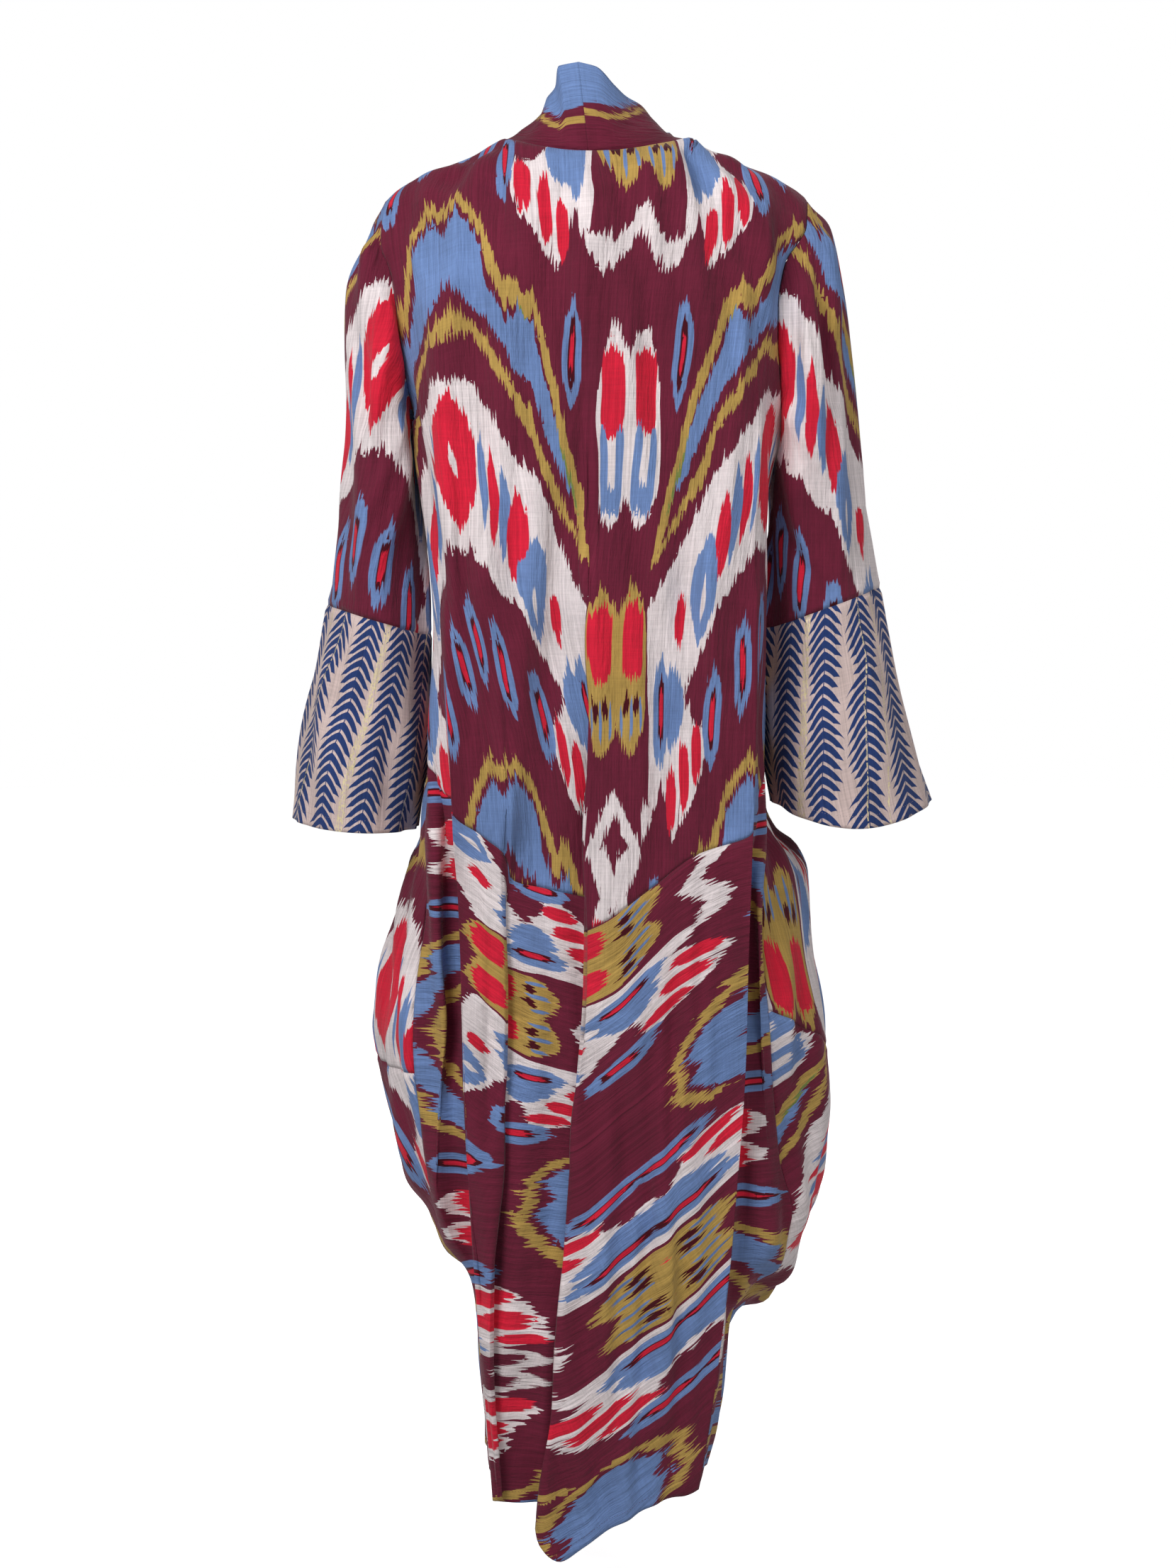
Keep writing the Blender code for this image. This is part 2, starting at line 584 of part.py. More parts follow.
def collar_grid(side, neck_edge, front_edge):
    """Outer points of one half of the collar, along its seam by across its width."""
    seam = np.concatenate([neck_edge, front_edge[1:]])
    count = len(neck_edge) - 1
    reach = collar_reach[side]
    grid = []
    for index, start in enumerate(seam):
        place = index / count if index <= count else 1 + (index - count) / (len(front_edge) - 1)
        offset = np.array([float(line(reach, place, key)) for key in (1, 2, 3)])
        bow = collar_bow * max(0.0, 1 - place)
        column = []
        for row in range(collar_rows + 1):
            share = row / collar_rows
            column.append(start + offset * share + np.array([0.0, -bow * math.sin(math.pi * share), 0.0]))
        grid.append(column)
    return np.array(grid)


def normals(grid, flip, closed=False):
    """Outward normals of a grid."""
    if closed:
        across = np.roll(grid, -1, axis=0) - np.roll(grid, 1, axis=0)
    else:
        across = np.gradient(grid, axis=0)
    down = np.gradient(grid, axis=1)
    facing = np.cross(across, down) * (-1 if flip else 1)
    return facing / np.maximum(np.linalg.norm(facing, axis=2, keepdims=True), 1e-9)


def unit(vectors):
    """Vectors of length one."""
    return vectors / np.maximum(np.linalg.norm(vectors, axis=-1, keepdims=True), 1e-9)


def corner_pull(edge, facing, inner, closed):
    """Half a seam gap away from the mitre plane of a corner seam."""
    if closed:
        along = np.roll(edge, -1, axis=0) - np.roll(edge, 1, axis=0)
    else:
        along = np.gradient(edge, axis=0)
    across = unit(np.cross(along, facing))
    own_side = np.sign(np.sum(across * (inner - edge), axis=1, keepdims=True))
    return across * own_side * seam_gap / 2


def pull_in(points, facing, closed, armholes):
    """Move each edge of a panel inward by half a seam gap.

    armholes names the edges that meet a sleeve or a body at a corner: first, last or ring.
    """
    moved = points.copy()
    everything = slice(None)
    edges = [("ring", (everything, 0), (everything, 1)), ("hem", (everything, -1), (everything, -2))]
    if not closed:
        edges.append(("first", (0, everything), (1, everything)))
        edges.append(("last", (-1, everything), (-2, everything)))
    for name, edge, inner in edges:
        pull = unit(points[inner] - points[edge]) * seam_gap / 2
        if name in armholes:
            part = everything if name == "ring" else slice(0, row_arm + 1)
            corner = corner_pull(points[edge][part], facing[edge][part], points[inner][part], name == "ring")
            if name != "ring":
                corner[row_arm] += pull[row_arm]
            pull[part] = corner
        moved[edge] += pull
    return moved


def material(name, colour):
    """A plain cloth finish."""
    made = bpy.data.materials.new(name)
    made.use_nodes = True
    shader = made.node_tree.nodes["Principled BSDF"]
    shader.inputs["Base Color"].default_value = colour
    shader.inputs["Roughness"].default_value = 0.85
    shader.inputs["Metallic"].default_value = 0.0
    return made


def wall(name, points, facing, thickness, colour, closed=False, armholes=()):
    """A closed thin wall: the panel's outer points and the same points moved inward."""
    columns, rows = points.shape[:2]
    outer = pull_in(points, facing, closed, armholes)
    inner = outer - facing * thickness
    shell = bmesh.new()
    layers = []
    for layer in (outer, inner):
        layers.append([[shell.verts.new(point) for point in column] for column in layer])
    spans = range(columns if closed else columns - 1)
    for layer in layers:
        for column in spans:
            after = (column + 1) % columns
            for row in range(rows - 1):
                corner = (layer[column][row], layer[after][row], layer[after][row + 1], layer[column][row + 1])
                shell.faces.new((corner[0], corner[1], corner[2]))
                shell.faces.new((corner[0], corner[2], corner[3]))
    rims = []
    for row in (0, rows - 1):
        for column in spans:
            rims.append(((column, row), ((column + 1) % columns, row)))
    if not closed:
        for column in (0, columns - 1):
            rims.extend(((column, row), (column, row + 1)) for row in range(rows - 1))
    for (a, b), (c, d) in rims:
        first, second = layers[0][a][b], layers[0][c][d]
        third, fourth = layers[1][c][d], layers[1][a][b]
        shell.faces.new((first, second, third))
        shell.faces.new((first, third, fourth))
    bmesh.ops.recalc_face_normals(shell, faces=shell.faces)
    mesh = bpy.data.meshes.new(name)
    shell.to_mesh(mesh)
    shell.free()
    mesh.materials.append(material(name + "_cloth", colour))
    mesh.shade_smooth()
    piece = bpy.data.objects.new(name, mesh)
    bpy.context.scene.collection.objects.link(piece)
    return piece


def share_facing(first, second):
    """Both sides of a seam get the same facing, so that their edges meet in a mitre."""
    both = unit(first + second)
    first[...] = both
    second[...] = both


def share_corner(first, second, along, first_way, second_way):
    """The same for two panels that meet at a sharp corner. Each way leads from the seam into its panel."""
    along = unit(along)
    first_way = unit(first_way - along * np.dot(first_way, along))
    second_way = unit(second_way - along * np.dot(second_way, along))
    hollow = 1.0 if float(np.dot(first, second_way)) > 0 else -1.0
    both = unit(first + second + hollow * (first_way + second_way))
    first[...] = both
    second[...] = both


def main():
    for old in list(bpy.data.objects):
        bpy.data.objects.remove(old, do_unlink=True)

    back = back_grid()
    fronts = {side: front_grid(side) for side in ("right", "left")}
    back_facing = normals(back, flip=False)
    front_facing = {"right": normals(fronts["right"], flip=True), "left": normals(fronts["left"], flip=False)}
    last = len(back) - 1
    back_edge = {"right": 0, "left": last}
    names = [entry[0] for entry in back_columns]
    places = column_places(back_columns)
    centre = places[names.index("pleat_f")]
    skirt_seam = places[names.index("pleat_d")]
    neck = {"right": shoulder_steps, "left": last - shoulder_steps}

    sleeves, sleeve_facing = {}, {}
    cuffs, cuff_facing = {}, {}
    collars, collar_facing = {}, {}
    for side in ("right", "left"):
        edge = back_edge[side]
        loop = armhole_loop(back[edge], fronts[side][0])
        sleeves[side] = sleeve_grid(side, loop)
        cuffs[side] = cuff_grid(side)
        flip = side == "left"
        sleeve_facing[side] = normals(sleeves[side], flip, closed=True)
        cuff_facing[side] = normals(cuffs[side], flip, closed=True)
        step = -1 if side == "right" else 1
        neck_edge = back[centre:neck[side] + step:step, 0]
        collars[side] = collar_grid(side, neck_edge, fronts[side][-1, :row_collar_end + 1])
        collar_facing[side] = normals(collars[side], flip)

    for side in ("right", "left"):
        edge = back_edge[side]
        step = 1 if side == "right" else -1
        # Side seam below the underarm, then the shoulder seam
        share_facing(back_facing[edge, row_arm:], front_facing[side][0, row_arm:])
        shoulder = slice(0, shoulder_steps + 1)
        back_shoulder = back_facing[::step][shoulder, 0]
        share_facing(back_shoulder, front_facing[side][shoulder, 0])
        # Armhole: the body's edge and the sleeve's first ring
        loop_facing = sleeve_facing[side][:, 0]
        sleeve = sleeves[side]
        for row in range(row_arm + 1):
            front_turn = (sleeve_columns - 2 * row) % sleeve_columns
            for panel, panel_facing, inner, turn in (
                (back[edge], back_facing[edge], back[edge + step], 2 * row),
                (fronts[side][0], front_facing[side][0], fronts[side][1], front_turn),
            ):
                start = panel[row]
                way = panel[row + 1] - start if row == row_arm else inner[row] - start
                along = sleeve[(turn + 1) % sleeve_columns, 0] - sleeve[turn - 1, 0]
                share_corner(panel_facing[row], loop_facing[turn], along, way, sleeve[turn, 1] - start)
        front_facing[side][0, 0] = back_facing[edge, 0]
        front_facing[side][0, row_arm] = back_facing[edge, row_arm]
        loop_facing[1::2] = unit(loop_facing[0::2] + np.roll(loop_facing[0::2], -1, axis=0))
        # Cuff seam
        share_facing(sleeve_facing[side][:, -1], cuff_facing[side][:, 0])
        # Collar seam, along the neck and down the front edge
        count = abs(neck[side] - centre)
        walk = -1 if side == "right" else 1
        for index in range(count + 1):
            share_facing(back_facing[centre + walk * index, 0], collar_facing[side][index, 0])
        for row in range(1, row_collar_end + 1):
            share_facing(front_facing[side][-1, row], collar_facing[side][count + row, 0])
        front_facing[side][-1, 0] = back_facing[neck[side], 0]
    share_facing(collar_facing["right"][0], collar_facing["left"][0])

    ikat, cuff_colour = colours["ikat"], colours["cuff"]
    upper, lower = slice(0, row_vee + 1), slice(row_vee, row_hem + 1)
    wall("back", back[:, upper], back_facing[:, upper], cloth_wall, ikat, armholes=("first", "last"))
    right_part, left_part = slice(0, skirt_seam + 1), slice(skirt_seam, last + 1)
    wall("back_skirt_right", back[right_part, lower], back_facing[right_part, lower], cloth_wall, ikat)
    wall("back_skirt_left", back[left_part, lower], back_facing[left_part, lower], cloth_wall, ikat)
    upper, lower = slice(0, row_front_seam + 1), slice(row_front_seam, row_hem + 1)
    for side in ("right", "left"):
        points, facing = fronts[side], front_facing[side]
        wall("front_" + side, points[:, upper], facing[:, upper], cloth_wall, ikat, armholes=("first",))
        wall("front_skirt_" + side, points[:, lower], facing[:, lower], cloth_wall, ikat)
        wall("sleeve_" + side, sleeves[side], sleeve_facing[side], cloth_wall, ikat, True, ("ring",))
        wall("cuff_" + side, cuffs[side], cuff_facing[side], cloth_wall, cuff_colour, closed=True)
        wall("collar_" + side, collars[side], collar_facing[side], collar_wall, ikat)


main()
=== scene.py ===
import math
import random

import bpy
import numpy as np
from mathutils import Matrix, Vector


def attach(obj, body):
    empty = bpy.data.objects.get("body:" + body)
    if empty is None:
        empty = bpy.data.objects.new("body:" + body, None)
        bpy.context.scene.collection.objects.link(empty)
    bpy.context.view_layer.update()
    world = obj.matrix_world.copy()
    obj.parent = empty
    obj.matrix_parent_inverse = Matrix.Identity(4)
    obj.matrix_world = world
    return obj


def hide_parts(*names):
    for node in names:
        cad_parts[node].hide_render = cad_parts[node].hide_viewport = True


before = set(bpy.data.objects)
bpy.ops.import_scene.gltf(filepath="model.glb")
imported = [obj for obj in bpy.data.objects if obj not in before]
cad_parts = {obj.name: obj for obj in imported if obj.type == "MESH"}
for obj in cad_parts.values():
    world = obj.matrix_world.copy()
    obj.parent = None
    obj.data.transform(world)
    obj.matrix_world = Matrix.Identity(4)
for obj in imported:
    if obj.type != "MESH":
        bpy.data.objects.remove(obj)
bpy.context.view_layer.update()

print("frame loaded")

signs = {"right": 1, "left": -1}
perMetre = 1000.0


# curves and tables

def metres(table):
    # a table written in millimetres, in metres
    if isinstance(table, dict):
        return {key: metres(value) for key, value in table.items()}
    if isinstance(table, (list, tuple)):
        return [metres(value) for value in table]
    return table / perMetre


def through(keys, values, at):
    # smooth curve through (key, value) points that never overshoots them; at may be an array
    keys, values = np.asarray(keys, dtype=float), np.asarray(values, dtype=float)
    at = np.clip(np.asarray(at, dtype=float), keys[0], keys[-1])
    step = np.diff(keys)
    rate = np.diff(values, axis=0) / step.reshape((-1,) + (1,) * (values.ndim - 1))
    slope = np.zeros_like(values)
    slope[0] = rate[0]
    slope[-1] = rate[-1]
    before, after = rate[:-1], rate[1:]
    sameWay = before * after > 0
    total = np.where(sameWay, before + after, 1.0)
    slope[1:-1] = np.where(sameWay, 2 * before * after / total, 0.0)
    low = np.clip(np.searchsorted(keys, at, side="right") - 1, 0, len(keys) - 2)
    shape = at.shape + (1,) * (values.ndim - 1)
    t = ((at - keys[low]) / step[low]).reshape(shape)
    gap = step[low].reshape(shape)
    start = (1 + 2 * t) * (1 - t) ** 2 * values[low] + t * (1 - t) ** 2 * gap * slope[low]
    end = t * t * (3 - 2 * t) * values[low + 1] + t * t * (t - 1) * gap * slope[low + 1]
    return start + end


def line(table, drop, column=1):
    return through([row[0] for row in table], [row[column] for row in table], drop)


def ease(low, high, value):
    t = np.clip((value - low) / (high - low), 0.0, 1.0)
    return t * t * (3 - 2 * t)


def unit(vectors):
    return vectors / np.maximum(np.linalg.norm(vectors, axis=-1, keepdims=True), 1e-9)


def travelled(points, axis=0, weights=1.0):
    # length from the first point on, along one axis of a grid
    total = np.cumsum(np.linalg.norm(np.diff(points, axis=axis), axis=-1) * weights, axis=axis)
    return np.concatenate([np.zeros_like(np.take(total, [0], axis=axis)), total], axis=axis)


# body shape in millimetres: drops are measured down from the neck points

body = metres({
    "neckHalf": 96, "neckCentreX": -4, "neckBackY": -75, "neckBackDip": 21,
    "shoulderTipX": 218, "shoulderRound": 170, "armDrop": 290, "armholeCut": 74,
    "shoulderSlope": [(96, 0), (140, 20), (180, 37), (205, 50), (218, 62)],
    "backDepth": [(290, -122), (500, -127), (700, -132), (900, -142), (1100, -152), (1300, -162),
                  (1460, -172)],
    "frontDepth": [(290, 140), (500, 138), (750, 145), (950, 150), (1100, 145), (1220, 120), (1400, 112)],
    "frontEdgeX": [(290, 50), (500, 40), (750, 35), (1400, 30)],
    "armholeX": {
        "right": [(60, 218), (94, 214), (113, 203), (126, 194), (146, 188), (178, 184), (210, 184),
                  (243, 187), (265, 189), (290, 188)],
        "left": [(60, 218), (100, 220.5), (116, 219.5), (130, 213), (153, 207), (199, 201.5), (254, 194),
                 (290, 188)],
    },
})
# columns that an armhole bends, and how the rows spread from shoulder to underarm
yokeValues = {"armholeReach": 6, "spread": 1.35}

# grid rows of the underarm, the V seam, the front seam and the hem
rowArm, rowVee, rowFrontSeam, rowHem = 10, 17, 22, 33
shoulderSteps = 11

# columns: name, columns to the next one, then how far down the V seam, the front seam's level and the hem
# cross it, in millimetres
backColumns = [
    ("seamRight", 2, 640, 890, 1335), ("ridgeRight", 2, 655, 910, 1342),
    ("valleyRight", 2, 670, 930, 1348), ("underRight", 1, 690, 950, 1356),
    ("lipRight", 4, 703, 970, 1372), ("bladeRight", 3, 729, 1000, 1394),
    ("innerRight", 2, 765, 1030, 1420), ("centreRight", 1, 793, 1050, 1440),
    ("pleatA", 1, 803, 1060, 1428), ("pleatB", 1, 805, 1060, 1405), ("pleatC", 1, 803, 1060, 1396),
    ("pleatD", 1, 795, 1060, 1391), ("pleatE", 1, 787, 1060, 1388), ("pleatF", 2, 778, 1060, 1386),
    ("pleatFloor", 2, 766, 1060, 1386), ("foldF", 1, 755, 1060, 1385), ("foldE", 1, 750, 1060, 1384),
    ("foldD", 1, 742, 1055, 1383), ("foldC", 1, 735, 1050, 1381), ("foldB", 1, 727, 1045, 1380),
    ("foldA", 1, 722, 1040, 1378), ("bladeLeft", 4, 714, 1020, 1370), ("lipLeft", 1, 683, 990, 1352),
    ("underLeft", 2, 672, 980, 1346), ("valleyLeft", 2, 660, 970, 1342), ("ridgeLeft", 2, 645, 960, 1338),
    ("seamLeft", 0, 630, 955, 1335),
]
frontColumns = {
    "right": [
        ("seam", 2, 640, 890, 1335), ("pouchBack", 2, 660, 925, 1330), ("out", 2, 680, 950, 1325),
        ("pouchFront", 3, 700, 950, 1315), ("chest", 2, 710, 930, 1305), ("edge", 0, 720, 915, 1300)],
    "left": [
        ("seam", 2, 630, 955, 1335), ("pouchBack", 2, 655, 955, 1330), ("out", 2, 680, 955, 1325),
        ("pouchFront", 3, 700, 950, 1315), ("chest", 2, 710, 930, 1305), ("edge", 0, 720, 915, 1300)],
}

# lines down each side of the body in millimetres: drop, distance out from the centre, y; lip is where the
# back turns in, under, valley and ridge are the recess beside it, out is the widest line
sideLines = metres({
    "right": {
        "lip": [
            (290, 166, -105), (360, 163, -117), (500, 160, -123), (620, 159, -129), (760, 155, -137),
            (930, 150, -145), (1100, 139, -149), (1220, 126, -149), (1320, 112.5, -147),
            (1400, 98, -143)],
        "under": [
            (290, 173, -90), (500, 165, -107), (620, 161, -113), (700, 156, -115), (760, 151, -118),
            (930, 146, -124), (1100, 136, -130), (1200, 131, -135), (1240, 127.5, -133),
            (1320, 116.5, -130), (1400, 101.5, -126)],
        "valley": [
            (290, 180, -66), (500, 168, -85), (620, 164, -100), (700, 159, -105), (760, 155, -105),
            (930, 154, -110), (1100, 150, -115), (1170, 140, -115), (1220, 131.5, -112),
            (1320, 119, -110), (1400, 104.5, -106)],
        "ridge": [
            (290, 186, -34), (500, 167.5, -62), (620, 168, -85), (700, 167, -98), (760, 163, -107),
            (930, 169, -116), (1020, 174, -119), (1100, 178, -118), (1170, 155, -108), (1220, 133.5, -90),
            (1320, 120.5, -88), (1400, 105.5, -85)],
        "seam": [
            (290, 188, 0), (360, 168, -18), (500, 166.5, -42), (620, 170, -68), (700, 172, -85),
            (760, 169, -98), (930, 181, -102), (1040, 193, -104), (1100, 206, -100), (1155, 185, -90),
            (1200, 150, -78), (1235, 134, -66), (1320, 121.5, -64), (1400, 106, -62)],
        "out": [
            (290, 186, 40), (330, 172, 35), (360, 166.5, 30), (620, 170, 20), (690, 174, 20),
            (715, 186, 20), (735, 206, 20), (760, 219, 20), (840, 229, 20), (930, 240.5, 15),
            (1000, 244.5, 10), (1060, 239, 10), (1110, 230, 10), (1150, 216, 10), (1180, 203, 10),
            (1210, 165, 0), (1235, 136.5, -5), (1320, 122.5, -10), (1400, 106.5, -10)],
    },
    "left": {
        "lip": [
            (290, 160, -105), (360, 157, -117), (500, 152, -123), (620, 148, -129), (700, 145, -133),
            (770, 139.5, -137), (930, 134.5, -145), (1020, 131, -148), (1120, 126.5, -149),
            (1200, 121, -147), (1320, 111.5, -142), (1400, 108, -138)],
        "under": [
            (290, 168, -90), (500, 158, -106), (620, 151, -112), (700, 143, -115), (770, 136.5, -118),
            (930, 130, -124), (1080, 126, -130), (1150, 124.5, -133), (1200, 123, -130),
            (1320, 113.5, -126), (1400, 109.5, -122)],
        "valley": [
            (290, 178, -66), (500, 165, -84), (620, 158, -96), (700, 154, -99), (770, 150, -100),
            (930, 147, -106), (1050, 145, -112), (1120, 137, -115), (1170, 127, -112),
            (1200, 124.5, -108), (1320, 115, -106), (1400, 110.5, -102)],
        "ridge": [
            (290, 185, -34), (500, 168, -62), (620, 166, -88), (700, 165, -108), (840, 160, -116),
            (900, 154.5, -120), (980, 160, -122), (1060, 164, -120), (1120, 150, -114), (1170, 129, -100),
            (1200, 125.5, -88), (1320, 116, -86), (1400, 111.5, -82)],
        "seam": [
            (290, 188, 0), (360, 168, -18), (500, 167, -42), (620, 171, -68), (720, 180, -90),
            (930, 184, -100), (1020, 180, -100), (1080, 172, -95), (1130, 158, -90), (1165, 133, -80),
            (1200, 126, -66), (1320, 116.5, -64), (1400, 112.5, -62)],
        "out": [
            (290, 186, 40), (330, 172, 35), (360, 166, 30), (620, 170, 20), (700, 176, 20),
            (730, 188, 20), (755, 200, 20), (800, 212.5, 20), (875, 227, 15), (924, 233, 10),
            (955, 229, 10), (1037, 212, 10), (1074, 203, 10), (1103, 184, 10), (1133, 168, 5),
            (1155, 150, 0), (1175, 131, 0), (1200, 127, -5), (1320, 117.5, -10), (1400, 113, -10)],
    },
})

# the centre pleat, whose right side lies over the left, and the fold that faces it, in millimetres
pleats = metres({
    "pleat": {
        "line": [(290, -8), (690, -12), (860, -14), (980, -23), (1090, -31), (1210, -39), (1270, -43),
                 (1380, -56), (1460, -60)],
        "sink": (270, 420), "tuck": (380, 760), "lap": [(760, 24), (1400, 28)],
    },
    "fold": {
        "line": [(290, -70), (700, -88), (930, -90), (1090, -102), (1230, -104), (1400, -94)],
        "sink": (600, 740), "tuck": (700, 880), "lap": [(900, 16), (1100, 15), (1240, 10)],
    },
})
pleatGrowth = [(0.80, 1.0), (1.40, 1.5)]
pleatParts = [
    # flat place, tucked place at the lip, share of the lap, depth
    (0.010, 0.004, 0.0, 0.0), (0.006, 0.0, 0.0, 0.003), (0.002, 0.004, 0.0, 0.006),
    (-0.002, -0.004, 1.0, 0.006), (-0.006, 0.0, 1.0, 0.0085), (-0.010, -0.004, 1.0, 0.011),
]
pleatFloorDepth = 1.1
bladeShares = {"right": (0.64, 0.36, 0.12), "left": (0.22,)}
frontShares = {"pouchBack": (0.80, 0.45), "pouchFront": (0.90, 0.38), "chest": (0.55, 0.03)}

# long soft folds in millimetres: x at the top and at the hem, drops where one starts and is full, height,
# width
softFolds = metres({
    "back": [(56, 62, 840, 1160, 4.5, 13), (100, 90, 840, 1160, 4.5, 10), (-118, -108, 360, 550, 3, 12)],
    "front": [(120, 66, 350, 800, 7, 16), (175, 105, 450, 900, 6, 14), (-105, -62, 350, 800, 7, 16),
              (-165, -100, 450, 900, 6, 14)],
})
foldFloor = 1.30
frontFoldY = 0.14


def columnPlaces(columns):
    return np.cumsum([0] + [entry[1] for entry in columns[:-1]])


def sideLine(side, name, drop):
    table = sideLines[side][name]
    return line(table, drop), line(table, drop, 2)


def pleatPoints(name, side, baseY, drop):
    # six lines of a knife pleat; side is +1 where the upper layer lies to the right
    pleat = pleats[name]
    sink = ease(*pleat["sink"], drop) * line(pleatGrowth, drop)
    tuck = ease(*pleat["tuck"], drop)
    lap, at = line(pleat["lap"], drop), line(pleat["line"], drop)
    return [(at + side * (flat + (tucked + share * lap - flat) * tuck), baseY + depth * sink)
            for flat, tucked, share, depth in pleatParts]


def bladePoints(side, startX, startY, lip):
    return [(startX + (lip[0] - startX) * share, startY + (lip[1] - startY) * share ** 2)
            for share in bladeShares[side]]


def backSection(drop):
    # (x, y) of every named line of the back; drop may be an array
    depth = line(body["backDepth"], drop)
    pleat, fold = pleatPoints("pleat", 1, depth, drop), pleatPoints("fold", -1, depth, drop)
    recess = ("lip", "under", "valley", "ridge", "seam")
    points = [sideLine("right", name, drop) for name in recess[::-1]]
    points += bladePoints("right", pleat[0][0], depth, points[-1]) + pleat
    points.append(((pleat[-1][0] + fold[-1][0]) / 2, depth + (pleat[-1][1] - depth) * pleatFloorDepth))
    left = [sideLine("left", name, drop) for name in recess]
    left = [(-x, y) for x, y in left]
    return np.array(points + fold[::-1] + bladePoints("left", fold[0][0], depth, left[0]) + left)


def frontSection(side, drop):
    seam, out = (np.array(sideLine(side, name, drop)) for name in ("seam", "out"))
    edge = np.array([line(body["frontEdgeX"], drop), line(body["frontDepth"], drop)])
    points = [seam, seam + ((out - seam).T * frontShares["pouchBack"]).T, out]
    points += [edge + ((out - edge).T * frontShares[name]).T for name in ("pouchFront", "chest")]
    return np.array(points + [edge])


def foldHeight(panel, x, drop):
    height = np.zeros_like(x)
    for xTop, xHem, start, full, top, width in softFolds[panel]:
        middle = xTop + (xHem - xTop) * np.minimum(1.0, (drop - start) / (foldFloor - start))
        height += top * ease(start, full, drop) * np.exp(-((x - middle) / width) ** 2)
    return height


# the cloth's grid: how finely the named columns and rows are divided

gridValues = {
    "backSteps": 5,
    "frontSteps": 8,
    "rowCounts": (58, 98, 46, 84),
    "sectionCount": 420,
    "lowestDrop": 1.46,
    "sleeveRows": 92,
    "cuffRows": 44,
    "collarRows": 20,
}

rowMarks = (0, rowArm, rowVee, rowFrontSeam, rowHem)
fineRows = [0.0]
for first, last, count in zip(rowMarks[:-1], rowMarks[1:], gridValues["rowCounts"]):
    fineRows.extend(np.linspace(first, last, count + 1)[1:])
fineRows = np.array(fineRows)
armIndex, veeIndex, frontSeamIndex = (int(np.argmin(np.abs(fineRows - row))) for row in rowMarks[1:4])
levels = np.linspace(body["armDrop"], gridValues["lowestDrop"], gridValues["sectionCount"])


def lowerPart(columns, fine, sections):
    # points and drops of the rows from the underarm down
    places = columnPlaces(columns)
    marks = [through(places, metres([entry[key] for entry in columns]), fine) for key in (2, 3, 4)]
    marks.insert(0, np.full_like(marks[0], body["armDrop"]))
    drops = through(rowMarks[1:], marks, fineRows[armIndex:]).T
    table = through(places, sections, fine)
    share = (drops - levels[0]) / (levels[-1] - levels[0]) * (len(levels) - 1)
    low = np.clip(share.astype(int), 0, len(levels) - 2)
    part = (share - low)[..., None]
    column = np.arange(len(fine))[:, None]
    return table[column, :, low] * (1 - part) + table[column, :, low + 1] * part, drops


def shoulderTop(side, step):
    x = body["shoulderTipX"] + (body["neckHalf"] - body["shoulderTipX"]) * step / shoulderSteps
    return np.stack([side * x, np.zeros_like(x), line(body["shoulderSlope"], x)], axis=1)


def yokeRow(tops, ends, t):
    # one row above the underarm, t of the way down to it
    drop = tops[:, 2] + (body["armDrop"] - tops[:, 2]) * t ** yokeValues["spread"]
    turn = np.sqrt(1 - (1 - np.minimum(1.0, (drop - tops[:, 2]) / body["shoulderRound"])) ** 2)
    x = tops[:, 0] + (ends[:, 0] - tops[:, 0]) * t * (2 - t)
    return np.stack([x, tops[:, 1] + (ends[:, 1] - tops[:, 1]) * turn, -drop], axis=1)


def armholeSide(side, tops, section, places, fine):
    # rows above the underarm between an armhole and the neck; each uses less of the section's side part
    path = through(places, section, fine)
    along = travelled(path)
    own = along / along[-1]
    even = fine / shoulderSteps
    near = np.maximum(0.0, 1 - fine / yokeValues["armholeReach"]) ** 2
    rows = []
    for row in fineRows[:armIndex]:
        t = row / rowArm
        cut = body["armholeCut"] * math.sqrt(1 - max(0.0, 2 * t - 1) ** 2)
        place = cut + (along[-1] - cut) * (even + (own - even) * t)
        target = np.stack([np.interp(place, along, path[:, axis]) for axis in (0, 1)], axis=1)
        points = yokeRow(tops, target, t)
        edge = signs[side] * line(body["armholeX"][side], -points[0, 2])
        points[:, 0] += near * (edge - points[0, 0])
        rows.append(points)
    return np.stack(rows, axis=1)


def joined(upper, flat, drops):
    return np.concatenate([upper, np.concatenate([flat, -drops[..., None]], axis=2)], axis=1)


def backSurface():
    places = columnPlaces(backColumns)
    last = places[-1]
    fine = np.arange(last * steps + 1) / steps
    across = 1 - 2 * np.clip((fine - shoulderSteps) / (last - 2 * shoulderSteps), 0.0, 1.0)
    bow = 1 - across ** 2
    tops = np.stack([body["neckHalf"] * across + body["neckCentreX"] * bow,
                     body["neckBackY"] * np.sqrt(bow), body["neckBackDip"] * bow], axis=1)
    near = shoulderSteps * steps + 1
    tops[:near] = shoulderTop(1, fine[:near])
    tops[::-1][:near] = shoulderTop(-1, fine[:near])
    section = backSection(body["armDrop"])
    ends = through(places, section, fine)
    upper = np.stack([yokeRow(tops, ends, row / rowArm) for row in fineRows[:armIndex]], axis=1)
    upper[:near] = armholeSide("right", tops[:near], section, places, fine[:near])
    upper[::-1][:near] = armholeSide("left", tops[::-1][:near], section[::-1], last - places[::-1],
                                     fine[:near])
    flat, drops = lowerPart(backColumns, fine, backSection(levels))
    inside = slice(columnAt("lipRight") + 1, columnAt("lipLeft"))
    flat[inside, :, 1] -= foldHeight("back", flat[inside, :, 0], drops[inside])
    return joined(upper, flat, drops)


